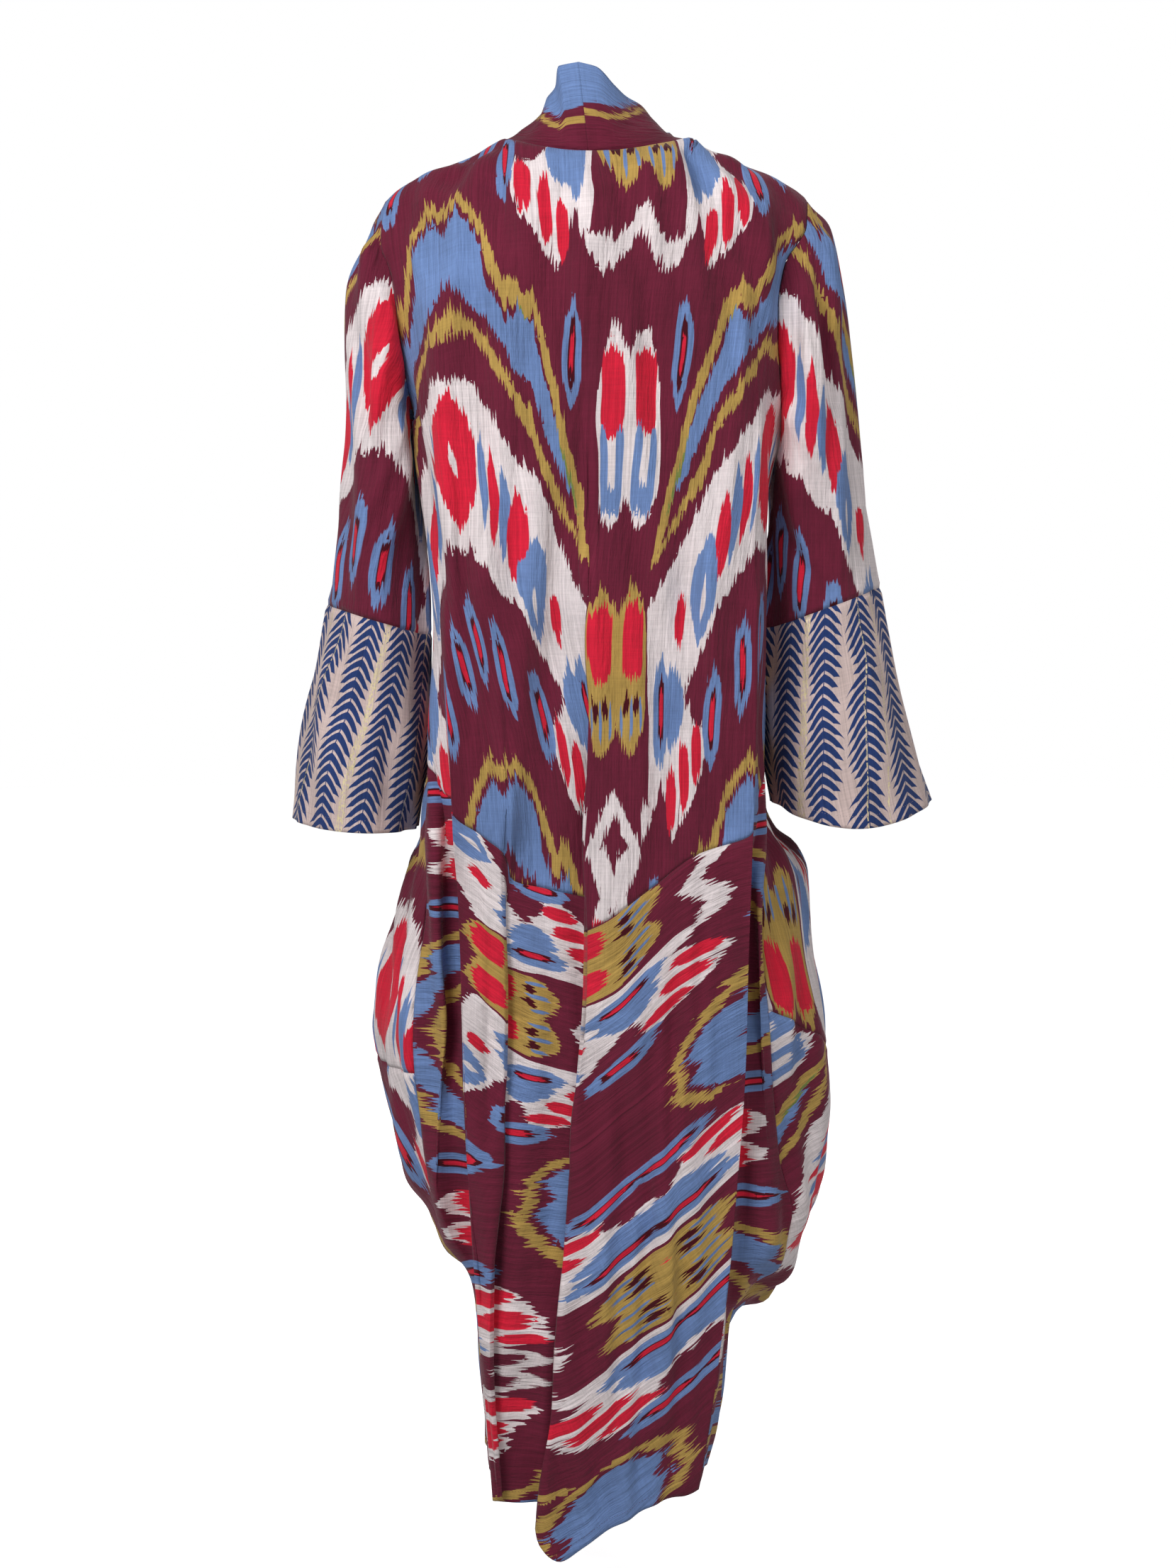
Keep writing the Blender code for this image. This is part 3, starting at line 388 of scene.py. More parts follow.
def frontSurface(side):
    columns = frontColumns[side]
    fine = np.arange(shoulderSteps * gridValues["frontSteps"] + 1) / gridValues["frontSteps"]
    way = np.array([signs[side], 1])
    section = frontSection(side, body["armDrop"]) * way
    upper = armholeSide(side, shoulderTop(signs[side], fine), section, columnPlaces(columns), fine)
    flat, drops = lowerPart(columns, fine, frontSection(side, levels) * way[:, None])
    flat[..., 1] += foldHeight("front", flat[..., 0], drops) * np.maximum(0.0, flat[..., 1]) / frontFoldY
    return joined(upper, flat, drops)


# sleeves, cuffs and collar

# rings in millimetres: outX, outDrop, inX, inDrop, depth, sag
sleeveRings = metres({
    "right": [
        (240, 92, 191, 300, 78, 0), (252, 150, 189, 315, 80, 0), (257, 215, 184, 335, 78, 0),
        (266, 290, 179, 370, 74, 0), (279, 375, 175, 430, 70, 0), (291, 461, 172, 503, 72, 0)],
    "left": [
        (240, 104, 190, 300, 78, 0), (255, 160, 187, 315, 80, 0), (258, 222, 184, 335, 78, 0),
        (259, 300, 180, 370, 74, 0), (268, 390, 176, 435, 70, 0), (279, 478, 175, 509, 74, 0)],
})
cuffRings = metres({
    "right": [
        (291, 461, 172, 503, 72, 0), (313, 552, 172.5, 573, 78, 4), (332, 627, 175, 636, 84, 11),
        (350, 683, 183, 684, 88, 22)],
    "left": [
        (279, 478, 175, 509, 74, 0), (302, 573, 176, 588, 82, 0), (314, 645, 181, 661, 90, 0),
        (320, 700, 187, 711, 96, 3)],
})
gatherValues = {
    "end": (1.3, 1.7),
    "span": 1.4,
    # large gathers below the sleeve's head: height, count, where they start, reach sideways, and each
    # ring's share of them
    "height": 0.0035, "count": 2, "start": (0.15, 0.5), "side": 0.6,
    "rings": ((1, 1.0), (2, 1.0), (3, 0.5)),
    # small gathers at the seam: height, count, where they start, how they rise and fade, uneven pinching
    "fineHeight": 0.0022, "fineCount": 9, "fineStart": (0.05, 0.3), "rise": 0.012, "fade": 0.045,
    "pinch": (0.6, 0.4, 7.3, 1.0),
}
collarValues = {
    "bow": 0.004,
    "endRow": 14,
    # place, dx, dy, dz: place is 0 at the centre back, 1 at the neck point, 2 at the end
    "right": [(0.00, -0.010, 0.022, 0.092), (0.15, -0.008, 0.022, 0.088), (0.35, -0.010, 0.024, 0.068),
              (0.60, -0.013, 0.030, 0.050), (1.00, -0.022, 0.042, 0.012), (1.25, -0.042, 0.012, 0.002),
              (1.60, -0.030, 0.003, 0.000), (2.00, -0.014, 0.001, 0.000)],
    "left": [(0.00, -0.010, 0.022, 0.092), (0.20, -0.012, 0.022, 0.088), (0.35, -0.002, 0.024, 0.064),
             (0.60, 0.010, 0.030, 0.046), (1.00, 0.022, 0.042, 0.012), (1.25, 0.042, 0.012, 0.002),
             (1.60, 0.030, 0.003, 0.000), (2.00, 0.014, 0.001, 0.000)],
}
ringTurns = np.arange(2 * armIndex) * math.pi / armIndex
turnFromTop = np.abs((ringTurns + math.pi) % (2 * math.pi) - math.pi)


def ring(side, entry):
    # one ring of a sleeve, from its outer side round the back
    outX, outDrop, inX, inDrop, depth, sag = entry
    across, round = np.cos(ringTurns), np.sin(ringTurns)
    x = (outX + inX) / 2 + (outX - inX) / 2 * across
    drop = (outDrop + inDrop) / 2 + (outDrop - inDrop) / 2 * across + sag * round ** 2
    return np.stack([signs[side] * x, -depth * round, -drop], axis=1)


def gathers(start, count):
    # waves round a sleeve's head, fading out below
    values = gatherValues
    zone = ease(*start, turnFromTop) * (1 - ease(*values["end"], turnFromTop))
    return zone * np.cos(turnFromTop * 2 * math.pi * count / values["span"])


def gathered(side, rings):
    values = gatherValues
    wave = gathers(values["start"], values["count"]) * values["height"]
    away = np.stack([signs[side] * np.cos(ringTurns) * values["side"], -np.sin(ringTurns), 0 * ringTurns],
                    axis=1)
    for index, strength in values["rings"]:
        rings[index] = rings[index] + away * (wave * strength)[:, None]
    return rings


def swept(rings, count):
    rows = np.linspace(0, len(rings) - 1, count + 1)
    return through(range(len(rings)), rings, rows).swapaxes(0, 1)


def sleeveSurface(side, backEdge, frontEdge):
    loop = np.concatenate([backEdge[:armIndex], frontEdge[armIndex:0:-1]])
    rings = gathered(side, [loop] + [ring(side, entry) for entry in sleeveRings[side]])
    return swept(rings, gridValues["sleeveRows"])


def collarSurface(side, neckEdge, frontEdge):
    seam = np.concatenate([neckEdge, frontEdge[1:]])
    count = len(neckEdge) - 1
    index = np.arange(len(seam))
    place = np.where(index <= count, index / count, 1 + (index - count) / (len(frontEdge) - 1))
    offset = np.stack([line(collarValues[side], place, key) for key in (1, 2, 3)], axis=1)
    bow = collarValues["bow"] * np.maximum(0.0, 1 - place)
    share = np.linspace(0, 1, gridValues["collarRows"] + 1)
    grid = seam[:, None] + offset[:, None] * share[None, :, None]
    grid[..., 1] -= bow[:, None] * np.sin(math.pi * share)[None]
    return grid


closedKinds = ("sleeve", "cuff")


def facesIn(kind, side):
    # whether a grid's own order faces inwards
    return (kind == "front") == (side == "right")


def outward(grid, flip, closed):
    # unit vectors away from the cloth's right side
    if closed:
        across = np.roll(grid, -1, axis=0) - np.roll(grid, 1, axis=0)
    else:
        across = np.gradient(grid, axis=0)
    return unit(np.cross(across, np.gradient(grid, axis=1)) * (-1 if flip else 1))


steps = gridValues["backSteps"]
backNames = [entry[0] for entry in backColumns]
backPlaces = columnPlaces(backColumns)


def columnAt(name):
    return backPlaces[backNames.index(name)] * steps


back = backSurface()
lastColumn = len(back) - 1
armholeEdge = {"right": 0, "left": lastColumn}
collarCentre, skirtSeam = columnAt("pleatF"), columnAt("pleatD")
collarEnd = int(np.argmin(np.abs(fineRows - collarValues["endRow"])))
surfaces = {"back": back}
facings = {"back": outward(back, False, False)}
for side, sign in signs.items():
    front = frontSurface(side)
    neckColumn = abs(armholeEdge[side] - shoulderSteps * steps)
    neckEdge = back[collarCentre:neckColumn - sign:-sign, 0]
    made = {
        "front": front,
        "sleeve": sleeveSurface(side, back[armholeEdge[side]], front[0]),
        "cuff": swept([ring(side, entry) for entry in cuffRings[side]], gridValues["cuffRows"]),
        "collar": collarSurface(side, neckEdge, front[-1, :collarEnd + 1]),
    }
    for kind, grid in made.items():
        surfaces[kind + "_" + side] = grid
        facings[kind + "_" + side] = outward(grid, facesIn(kind, side), kind in closedKinds)
print("surfaces worked out")


# where the print lies on each panel: u across the warp and v along it, in metres

printPeriod = 0.380
halfPeriod = printPeriod / 2
printValues = {
    "underarmV": 0.264,
    "hiddenWeight": 0.55,
    "axisX": [(0.06, 0.0476), (0.225, 0.0341), (0.372, 0.0284), (0.48, 0.0206), (0.62, 0.0177),
              (0.82, 0.0155)],
    "gather": [(0.064, 0.99), (0.30, 1.15), (0.45, 1.22), (0.55, 1.26), (0.62, 1.30), (0.82, 1.30)],
    # fronts: v at the underarm, which way v runs down the cloth, u at the front edge
    "front": {"right": (0.495, -1.0, 0.395), "left": (0.292, 1.0, 0.540)},
    # right skirt: height of a warp line above its height at the centre pleat, by x: near the V seam, and
    # lower down
    "riseX": (-0.060, -0.0143, 0.0198, 0.0554, 0.0839, 0.1124, 0.1409, 0.1694),
    "riseTop": (-0.018, 0.0, 0.018, 0.054, 0.080, 0.098, 0.110, 0.117),
    "riseLow": (-0.020, 0.0, 0.028, 0.057, 0.082, 0.108, 0.134, 0.160),
    "riseBlend": (0.80, 1.00),
    # the x range and the count of points at which those heights are worked out
    "riseGrid": (-0.14, 0.19, 271),
    "rightAxisDrop": 0.844,
    "rightStartV": 0.515,
    # how far v runs ahead by the height below the axis, and the least v there
    "rightSlide": [(-0.10, 0.0), (0.0, -0.015), (0.058, -0.006), (0.09, -0.028), (0.112, -0.024),
                   (0.122, 0.0), (0.137, 0.0), (0.15, -0.022), (0.19, -0.027), (0.255, -0.035)],
    "rightLeast": [(0.138, 0.0), (0.148, 0.582), (0.240, 0.582)],
    # below its first dome: u where each zone starts, v at its middle, v per metre away from it, place of
    # the middle along the warp, and u there
    "rightZones": [(0.240, 0.530, 0.75, 0.113, 0.378), (0.522, 0.110, -0.75, 0.040, 0.570)],
    "rightZoneLean": 0.35,
    # the left skirt on either side of its fold: x, drop of the print's axis there, its slope, v, its slope
    "leftFoldX": -0.0895,
    "leftInner": (-0.0727, 0.8895, 0.365, 0.543, 1.69),
    "leftOuter": (-0.0905, 0.854, 0.76, 0.529, 2.19),
    # u by the height below that axis
    "leftFall": [(-0.35, -0.34), (0.0, 0.0), (0.205, 0.19), (0.308, 0.274), (0.350, 0.307), (0.382, 0.38),
                 (0.416, 0.453), (0.476, 0.486), (0.55, 0.57), (0.63, 0.66)],
    # where the axis levels out (from, to), the drop and x of the level axis, and its slope
    "leftLevel": (0.93, 1.07, 0.868, -0.098, 0.05),
    # v on the level axis, the drop at which it holds, its rate across and its rate down
    "leftLow": (0.578, 1.088, 1.0, 0.27),
    # the strips tucked behind each lip: drop of the mirror line, and v at the lip
    "strip": {"right": (0.830, 0.240), "left": (0.915, 0.240)},
    # front skirts: one known point (x, drop) with its u and v, and the warp's angle from level in degrees
    "frontSkirt": {"right": (0.190, 1.139, 0.190, 0.230, 25.0),
                   "left": (-0.198, 1.0375, 0.125, 0.563, 65.0)},
    # sleeves: how far v runs ahead of the drop, and the turn at which the print's other axis lies
    "sleeveV": {"right": 0.064, "left": 0.075},
    "sleeveTurn": {"right": ((0.1, 145), (0.5, 140)), "left": ((0.2, 90), (0.45, 62))},
}


def edgeGap(points, axis, index):
    # distance along the grid from one of its edges
    total = travelled(points, axis)
    return np.abs(total - np.take(total, [index], axis=axis))


def placed(u, v):
    return np.stack(np.broadcast_arrays(u, v), axis=2)


def downFrom(points, start):
    # length down the rows, ignoring x, counted from one row
    total = travelled(points[..., 1:], 1)
    return total - total[:, start:start + 1]


def backPrint(rows):
    values = printValues
    weights = np.ones((lastColumn, 1))
    for first, last in (("pleatB", "pleatE"), ("foldE", "foldB")):
        weights[columnAt(first):columnAt(last)] = values["hiddenWeight"]
    points = back[:, rows]
    arc = travelled(points[..., :2], 0, weights)
    right = slice(0, columnAt("pleatA") + 1)
    u = np.zeros_like(arc)
    for row in range(points.shape[1]):
        drop = -points[:, row, 2]
        past = line(values["axisX"], drop[right]) - points[right, row, 0]
        start = float(np.interp(0.0, past, arc[right, row]))
        u[:, row] = (arc[:, row] - start) * line(values["gather"], drop)
    return placed(u, values["underarmV"] + downFrom(back, armIndex)[:, rows])


def frontPrint(side, rows):
    points = surfaces["front_" + side]
    arc = travelled(points[..., :2])
    startV, way, edgeU = printValues["front"][side]
    return placed(edgeU + arc - arc[-1:], startV + way * downFrom(points, armIndex))[:, rows]


def stripPrint(side, points, lip):
    # the cloth tucked behind a lip, whose warp lies level
    axisDrop, startV = printValues["strip"][side]
    return placed(halfPeriod - points[..., 2] - axisDrop, startV - edgeGap(points[..., :2], 0, lip))


def rightSkirtPrint(points):
    values = printValues
    lip = columnAt("lipRight")
    drop = -points[..., 2]
    x = np.minimum(points[..., 0], points[lip, :, 0][None])
    blend = ease(*values["riseBlend"], drop)
    grid = np.linspace(*values["riseGrid"])
    heights, lengths = [], []
    for key in ("riseTop", "riseLow"):
        height = through(values["riseX"], values[key], grid)
        length = travelled(np.stack([grid, height], axis=1))
        heights.append(np.interp(x, grid, height))
        lengths.append(np.interp(x, grid, length - np.interp(values["riseX"][1], grid, length)))
    rise = heights[0] + (heights[1] - heights[0]) * blend
    along = lengths[0] + (lengths[1] - lengths[0]) * blend
    fall = drop - values["rightAxisDrop"] + rise
    v = values["rightStartV"] + along + line(values["rightSlide"], fall)
    grids = [placed(fall, np.maximum(v, line(values["rightLeast"], fall)))]
    zone = np.zeros((points.shape[0] - 1, points.shape[1] - 1), dtype=int)
    middle = (fall[1:, 1:] + fall[:-1, :-1]) / 2
    for index, (start, startV, rate, place, level) in enumerate(values["rightZones"]):
        away = along - place - values["rightZoneLean"] * (fall - level)
        grids.append(placed(fall, startV + rate * np.abs(away)))
        zone[middle > start] = index + 1
    grids.append(stripPrint("right", points, lip))
    zone[:lip] = len(grids) - 1
    return grids, zone


def leftSkirtPrint(points):
    values = printValues
    drop = -points[..., 2]
    x = points[..., 0] - line(pleats["fold"]["line"], drop) + values["leftFoldX"]
    column = (np.arange(len(points)) + skirtSeam)[:, None]
    blend = ease(columnAt("foldE"), columnAt("foldB"), column)
    spots = []
    for key in ("leftInner", "leftOuter"):
        startX, axis, axisSlope, startV, slopeV = values[key]
        spots.append((axis + (x - startX) * axisSlope, startV + (x - startX) * slopeV))
    axis, v = (near + (far - near) * blend for near, far in zip(*spots))
    lip, inner = columnAt("lipLeft") - skirtSeam, columnAt("pleatF") - skirtSeam
    axis[:inner] = axis[inner]
    v[:inner] = v[inner] + edgeGap(points[..., :2], 0, inner)[:inner]
    start, end, levelDrop, levelX, levelSlope = values["leftLevel"]
    startV, lowDrop, rateAcross, rateDown = values["leftLow"]
    low = ease(start, end, drop)
    axis = axis + (levelDrop + levelSlope * (x - levelX) - axis) * low
    v = v + (startV + rateAcross * (x - levelX) + rateDown * (drop - lowDrop) - v) * low
    zone = np.zeros((points.shape[0] - 1, points.shape[1] - 1), dtype=int)
    zone[lip:] = 1
    return [placed(line(values["leftFall"], drop - axis), v), stripPrint("left", points, lip)], zone


def frontSkirtPrint(side, points):
    startX, startDrop, startU, startV, degrees = printValues["frontSkirt"][side]
    arc = travelled(points[..., :2])
    row = int(np.argmin(np.abs(points[0, :, 2] + startDrop)))
    reach = np.abs(points[:, row, 0])
    widest = int(np.argmax(reach)) + 1
    out = arc - float(np.interp(abs(startX), reach[:widest], arc[:widest, row]))
    down = -points[..., 2] - startDrop
    turn = math.radians(degrees)
    u = startU + math.cos(turn) * down + math.sin(turn) * out
    return placed(u, startV + signs[side] * (math.cos(turn) * out - math.sin(turn) * down))


def sleevePrint(side, points):
    closed = np.concatenate([points, points[:1]])
    arc = travelled(closed[..., :2])
    drop = -closed[..., 2]
    turns = np.arange(len(closed)) / len(points) * 360
    u = np.zeros_like(arc)
    for row in range(arc.shape[1]):
        turn = float(line(printValues["sleeveTurn"][side], float(np.mean(drop[:, row]))))
        u[:, row] = halfPeriod + arc[:, row] - float(np.interp(turn, turns, arc[:, row]))
    return placed(u, drop + printValues["sleeveV"][side])


def cuffPrint(points):
    closed = np.concatenate([points, points[:1]])
    return placed(np.arange(len(closed))[:, None] / len(points), travelled(closed, 1))


def collarPrint(points):
    return placed(travelled(points[:, 0])[:, None], np.linspace(0, 1, points.shape[1]))


# soft waves and listed creases

waveValues = {
    "seed": 11,
    "count": 16,
    # wave lengths across and down, height as a share of the length across
    "acrossWaves": (0.028, 0.090),
    "downWaves": (0.14, 0.60),
    "share": 0.0150,
    # how far and how often each wave wanders
    "bend": 0.6,
    "bendPace": (9, 22),
    "bendStart": (0, 6),
    "start": (0, 6.28),
    "height": {"body": 1.55, "sleeve": 1.25, "cuff": 0.8, "collar": 0.8},
    # distances over which the waves grow from seams and edges
    "calm": {"seam": 0.035, "shoulder": 0.05, "cuff": 0.04, "collar": 0.03, "collarCentre": 0.02},
    # how much deeper the creases are than listed, how far a crease's ends are left off, and how soon one
    # shows on cloth that turns its way
    "creaseDepth": 2.6,
    "creaseTip": 0.001,
    "creaseTurn": 2,
    "layers": [("underRight", "lipRight"), ("pleatB", "foldB"), ("lipLeft", "underLeft")],
    "layersFrom": (0.42, 0.50),
    # a seam's sunk line: depth and half width; the soft ridge beside it: height, distance, half width
    "seamLine": (-0.0007, 0.0022),
    "seamRidge": (0.0005, 0.0065, 0.0035),
}
# creases of each panel by the way its cloth faces, in millimetres: x and z of the two ends, width, height
creaseValues = {
    ("back", -1): [
        (150, -135, 128, -420, 10, 3), (135, -150, 140, -330, 7, -2.2), (-158, -150, -138, -560, 10, 2.8),
        (-140, -330, -128, -620, 7, -2.2), (110, -420, 128, -700, 9, 2.4), (86, -240, 90, -520, 12, -1.6),
        (-70, -180, -82, -430, 13, -1.6), (-30, -420, -36, -700, 8, 1.8), (44, -520, 50, -760, 10, 1.6),
        (-104, -480, -94, -660, 6, 1.6), (72, -560, 88, -730, 6, -1.4), (20, -60, 14, -200, 14, -1.2),
        (-190, -90, -176, -150, 6, 1.4), (194, -88, 178, -150, 6, 1.4)],
    ("backSkirt", -1): [
        (94, -760, 86, -1120, 8, 2.6), (74, -960, 70, -1340, 11, 3.2), (54, -900, 50, -1180, 9, -2.8),
        (40, -1060, 30, -1420, 10, 2.6), (92, -1060, 82, -1360, 8, -2.4), (16, -880, 8, -1180, 10, 2.2),
        (-74, -900, -82, -1300, 10, 2.8), (-56, -1080, -50, -1400, 8, 2.4),
        (78, -820, 72, -1050, 5, -1.6), (118, -730, 110, -1000, 6, 2), (62, -960, 60, -1300, 9, 2),
        (30, -980, 26, -1280, 10, -1.8), (8, -1080, 10, -1330, 6, 1.8),
        (-105, -760, -112, -1060, 6, -1.6), (-60, -840, -64, -1150, 8, 2),
        (-44, -1020, -60, -1300, 6, -1.8), (-88, -1080, -96, -1340, 7, 2),
        (46, -1180, 38, -1400, 7, -1.4), (-6, -860, 14, -980, 6, 1.4)],
    ("front", -1): [
        (192, -840, 206, -1020, 6, 1.8), (-196, -820, -192, -990, 6, 1.8),
        (206, -900, 196, -1080, 5, -1.4), (-186, -780, -204, -930, 5, 1.6),
        (180, -1020, 150, -1160, 6, 2), (-168, -1020, -146, -1120, 6, 2)],
    ("front", 1): [
        (140, -120, 110, -420, 10, 2.6), (-138, -130, -112, -440, 10, 2.6), (90, -300, 84, -640, 8, -2),
        (-88, -340, -80, -660, 9, -1.8), (160, -420, 170, -820, 9, 2.6), (-158, -430, -164, -800, 9, 2.6),
        (60, -560, 58, -880, 7, 1.8), (-58, -520, -56, -860, 7, 1.8), (212, -800, 186, -1060, 7, 2.2),
        (-206, -800, -176, -1020, 7, 2.2), (110, -940, 84, -1260, 9, 2.2),
        (-108, -940, -82, -1260, 9, 2.2)],
    ("sleeve", -1): [
        (205, -150, 232, -330, 7, 2.6), (222, -130, 246, -280, 6, -2), (192, -320, 214, -440, 7, 2.6),
        (190, -260, 238, -360, 8, 2.2), (240, -330, 256, -450, 8, 1.8), (186, -390, 230, -470, 7, -2),
        (-205, -150, -230, -330, 7, 2.6), (-224, -140, -240, -300, 6, -2),
        (-190, -310, -214, -430, 7, 2.6), (-188, -270, -232, -390, 8, 2.2),
        (-236, -360, -244, -470, 8, 1.8)],
    ("sleeve", 1): [
        (210, -160, 236, -350, 8, 2.4), (-210, -170, -232, -360, 8, 2.4), (196, -300, 240, -430, 8, -2.2),
        (-194, -310, -238, -440, 8, -2.2)],
    ("cuff", -1): [
        (262, -490, 300, -680, 12, 1.8), (-246, -500, -276, -700, 12, 1.8),
        (214, -510, 226, -680, 10, -1.6), (-206, -520, -214, -700, 10, -1.6)],
    ("cuff", 1): [
        (240, -500, 270, -680, 12, 1.8), (-230, -510, -256, -700, 12, 1.8)],
}


def waves(points, kind):
    # smooth seeded waves, longer down the cloth than across it
    values = waveValues
    draw = random.Random(values["seed"])
    height = np.zeros(points.shape[:-1])
    for index in range(values["count"]):
        across = draw.uniform(*values["acrossWaves"])
        down = draw.uniform(*values["downWaves"])
        turn = draw.uniform(0, 2 * math.pi)
        pull = 2 * math.pi * np.array([math.cos(turn) / across, math.sin(turn) / across, 1 / down])
        pace = draw.uniform(*values["bendPace"])
        bend = values["bend"] * np.sin(points[..., 2] * pace + draw.uniform(*values["bendStart"]))
        height += across * values["share"] * np.sin(points @ pull + bend + draw.uniform(*values["start"]))
    return height * values["height"][kind]


def creased(points, facing, *panels):
    values = waveValues
    height = np.zeros(points.shape[:-1])
    for (panel, way), creases in creaseValues.items():
        for x0, z0, x1, z1, width, top in metres(creases if panel in panels else []):
            start, reach = np.array([x0, z0]), np.array([x1 - x0, z1 - z0])
            spot = points[..., (0, 2)] - start
            share = np.clip(spot @ reach / (reach @ reach), 0.0, 1.0)
            gap = np.linalg.norm(spot - share[..., None] * reach, axis=-1)
            ends = np.sqrt(np.sin(math.pi * np.clip(share, values["creaseTip"], 1 - values["creaseTip"])))
            shown = np.clip(way * facing[..., 1] * values["creaseTurn"], 0.0, 1.0)
            height += top * values["creaseDepth"] * np.exp(-(gap / width) ** 2) * ends * shown
    return height


def seamGroove(gap):
    depth, lineWidth = waveValues["seamLine"]
    ridge, away, ridgeWidth = waveValues["seamRidge"]
    return depth * np.exp(-(gap / lineWidth) ** 2) + ridge * np.exp(-((gap - away) / ridgeWidth) ** 2)


def calmNear(place, gap):
    return ease(0.0, waveValues["calm"][place], gap)


def bodyHeight(points, facing, seams, panels):
    # each seam is an axis of the grid, a row or column, and the first row that it reaches
    height = waves(points, "body") + creased(points, facing, *panels)
    height *= calmNear("shoulder", edgeGap(points, 1, 0))
    upper = slice(0, armIndex + 1)
    height[:, upper] *= calmNear("seam", edgeGap(points, 0, 0)[:, upper])
    for axis, index, first in seams:
        height[:, first:] += seamGroove(edgeGap(points, axis, index)[:, first:])
    return height


def sleeveHeight(points, facing):
    values = gatherValues
    top = edgeGap(points, 1, 0)
    height = (waves(points, "sleeve") + creased(points, facing, "sleeve")) * calmNear("seam", top)
    least, most, pace, start = values["pinch"]
    pinch = least + most * np.sin(turnFromTop * pace + start)
    gather = gathers(values["fineStart"], values["fineCount"]) * pinch * values["fineHeight"]
    height += gather[:, None] * ease(0.0, values["rise"], top) * np.exp(-top / values["fade"])
    return height + seamGroove(edgeGap(points, 1, points.shape[1] - 1))


def cuffHeight(points, facing):
    top = edgeGap(points, 1, 0)
    blend = calmNear("cuff", top)
    height = waves(points, "cuff") + creased(points, facing, "cuff")
    return height * blend + waves(points, "sleeve") * (1 - blend) + seamGroove(top)


def collarHeight(points, facing):
    height = waves(points, "collar") * calmNear("collar", edgeGap(points, 1, 0))
    return height * calmNear("collarCentre", edgeGap(points, 0, 0))


def frontHeight(points, facing):
    return bodyHeight(points, facing, [(1, frontSeamIndex, 0), (0, 0, 0), (1, 0, 0)], ["front"])


def backHeight(points, facing):
    seams = [(1, veeIndex, 0), (0, 0, 0), (0, lastColumn, 0), (1, 0, 0), (0, skirtSeam, veeIndex)]
    height = bodyHeight(points, facing, seams, ["back", "backSkirt"])
    height[:, :armIndex + 1] *= calmNear("seam", edgeGap(points, 0, lastColumn)[:, :armIndex + 1])
    return height


# cloth sewn together faces one way along its seam
for side in signs:
    edge, sleeve, cuff = armholeEdge[side], facings["sleeve_" + side], facings["cuff_" + side]
    front = facings["front_" + side]
    shared = unit(facings["back"][edge, armIndex:] + front[0, armIndex:])
    facings["back"][edge, armIndex:] = front[0, armIndex:] = shared
    sleeve[:, -1] = cuff[:, 0] = unit(sleeve[:, -1] + cuff[:, 0])

# the layers of each fold move together, so that none comes through the one over it
for first, last in waveValues["layers"]:
    folded = slice(columnAt(first), columnAt(last) + 1)
    together = ease(*waveValues["layersFrom"], -back[folded, :, 2])[..., None]
    straight = together * np.array([0.0, -1.0, 0.0])
    facings["back"][folded] = unit(facings["back"][folded] * (1 - together) + straight)

heights = {"back": backHeight, "front": frontHeight, "sleeve": sleeveHeight, "cuff": cuffHeight,
           "collar": collarHeight}
shown = {}
for name, points in surfaces.items():
    height = heights[name.split("_")[0]](points, facings[name])
    shown[name] = points + facings[name] * height[..., None]
print("creases laid")


# meshes

shellThickness = 0.0009


def slotOf(kind):
    return "cuff_cotton" if kind == "cuff" else "ikat_cotton"


def addObject(name, data):
    made = bpy.data.objects.new(name, data)
    bpy.context.scene.collection.objects.link(made)
    return made


def clothMesh(name, points, uv, flip, closed):
    columns, rows = points.shape[:2]
    spans = columns if closed else columns - 1
    column, row = np.meshgrid(np.arange(spans), np.arange(rows - 1), indexing="ij")

    def squares(after, length):
        return np.stack([column * length + row, after * length + row, after * length + row + 1,
                         column * length + row + 1], axis=-1)

    corners = squares((column + 1) % columns, rows).reshape(-1, 4)
    grids, zone = uv if isinstance(uv, tuple) else ([uv], 0 * row)
    uv = np.concatenate([grid.reshape(-1, 2) for grid in grids])
    first = zone * (len(uv) // len(grids))
    uvCorners = (squares(column + 1, grids[0].shape[1]) + first[..., None]).reshape(-1, 4)
    if flip:
        corners, uvCorners = corners[:, ::-1], uvCorners[:, ::-1]
    mesh = bpy.data.meshes.new(name)
    mesh.from_pydata(points.reshape(-1, 3).tolist(), [], corners.tolist())
    layer = mesh.uv_layers.new(name="cloth")
    layer.data.foreach_set("uv", uv[uvCorners.reshape(-1)].astype(np.float32).reshape(-1))
    mesh.polygons.foreach_set("use_smooth", [True] * len(mesh.polygons))
    mesh.update()
    return mesh


def clothPiece(name, node, points, uv, material):
    kind, side = node.split("_")[0], node.split("_")[-1]
    flip = kind != "back" and facesIn(kind, side)
    mesh = clothMesh(name, points, uv, flip, kind in closedKinds)
    mesh.materials.append(material)
    piece = addObject(name, mesh)
    shell = piece.modifiers.new("thickness", "SOLIDIFY")
    shell.thickness = shellThickness
    shell.offset = -1
    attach(piece, "root")
    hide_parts(node)
    slotOf(kind)


# the row of small stitches above each hem

stitchValues = {
    "spacing": 0.0032,
    "length": 0.0021,
    "halfWidth": 0.00028,
    "height": 0.00032,
    "sunk": 0.0002,
    "inset": {"skirt": 0.011, "cuff": 0.013},
    "thread": {"skirt": "561027", "cuff": "A9958F"},
    "roughness": 0.7,
}


def hemPath(points, facing, inset):
    # the line that runs one inset above the last row, with the cloth's facing there
    gap = edgeGap(points, 1, points.shape[1] - 1)
    row = np.argmax(gap < inset, axis=1)
    column = np.arange(len(points))
    near, far = gap[column, row], gap[column, row - 1]
    share = ((far - inset) / (far - near))[:, None]
    return points[column, row - 1] * (1 - share) + points[column, row] * share, facing[column, row]


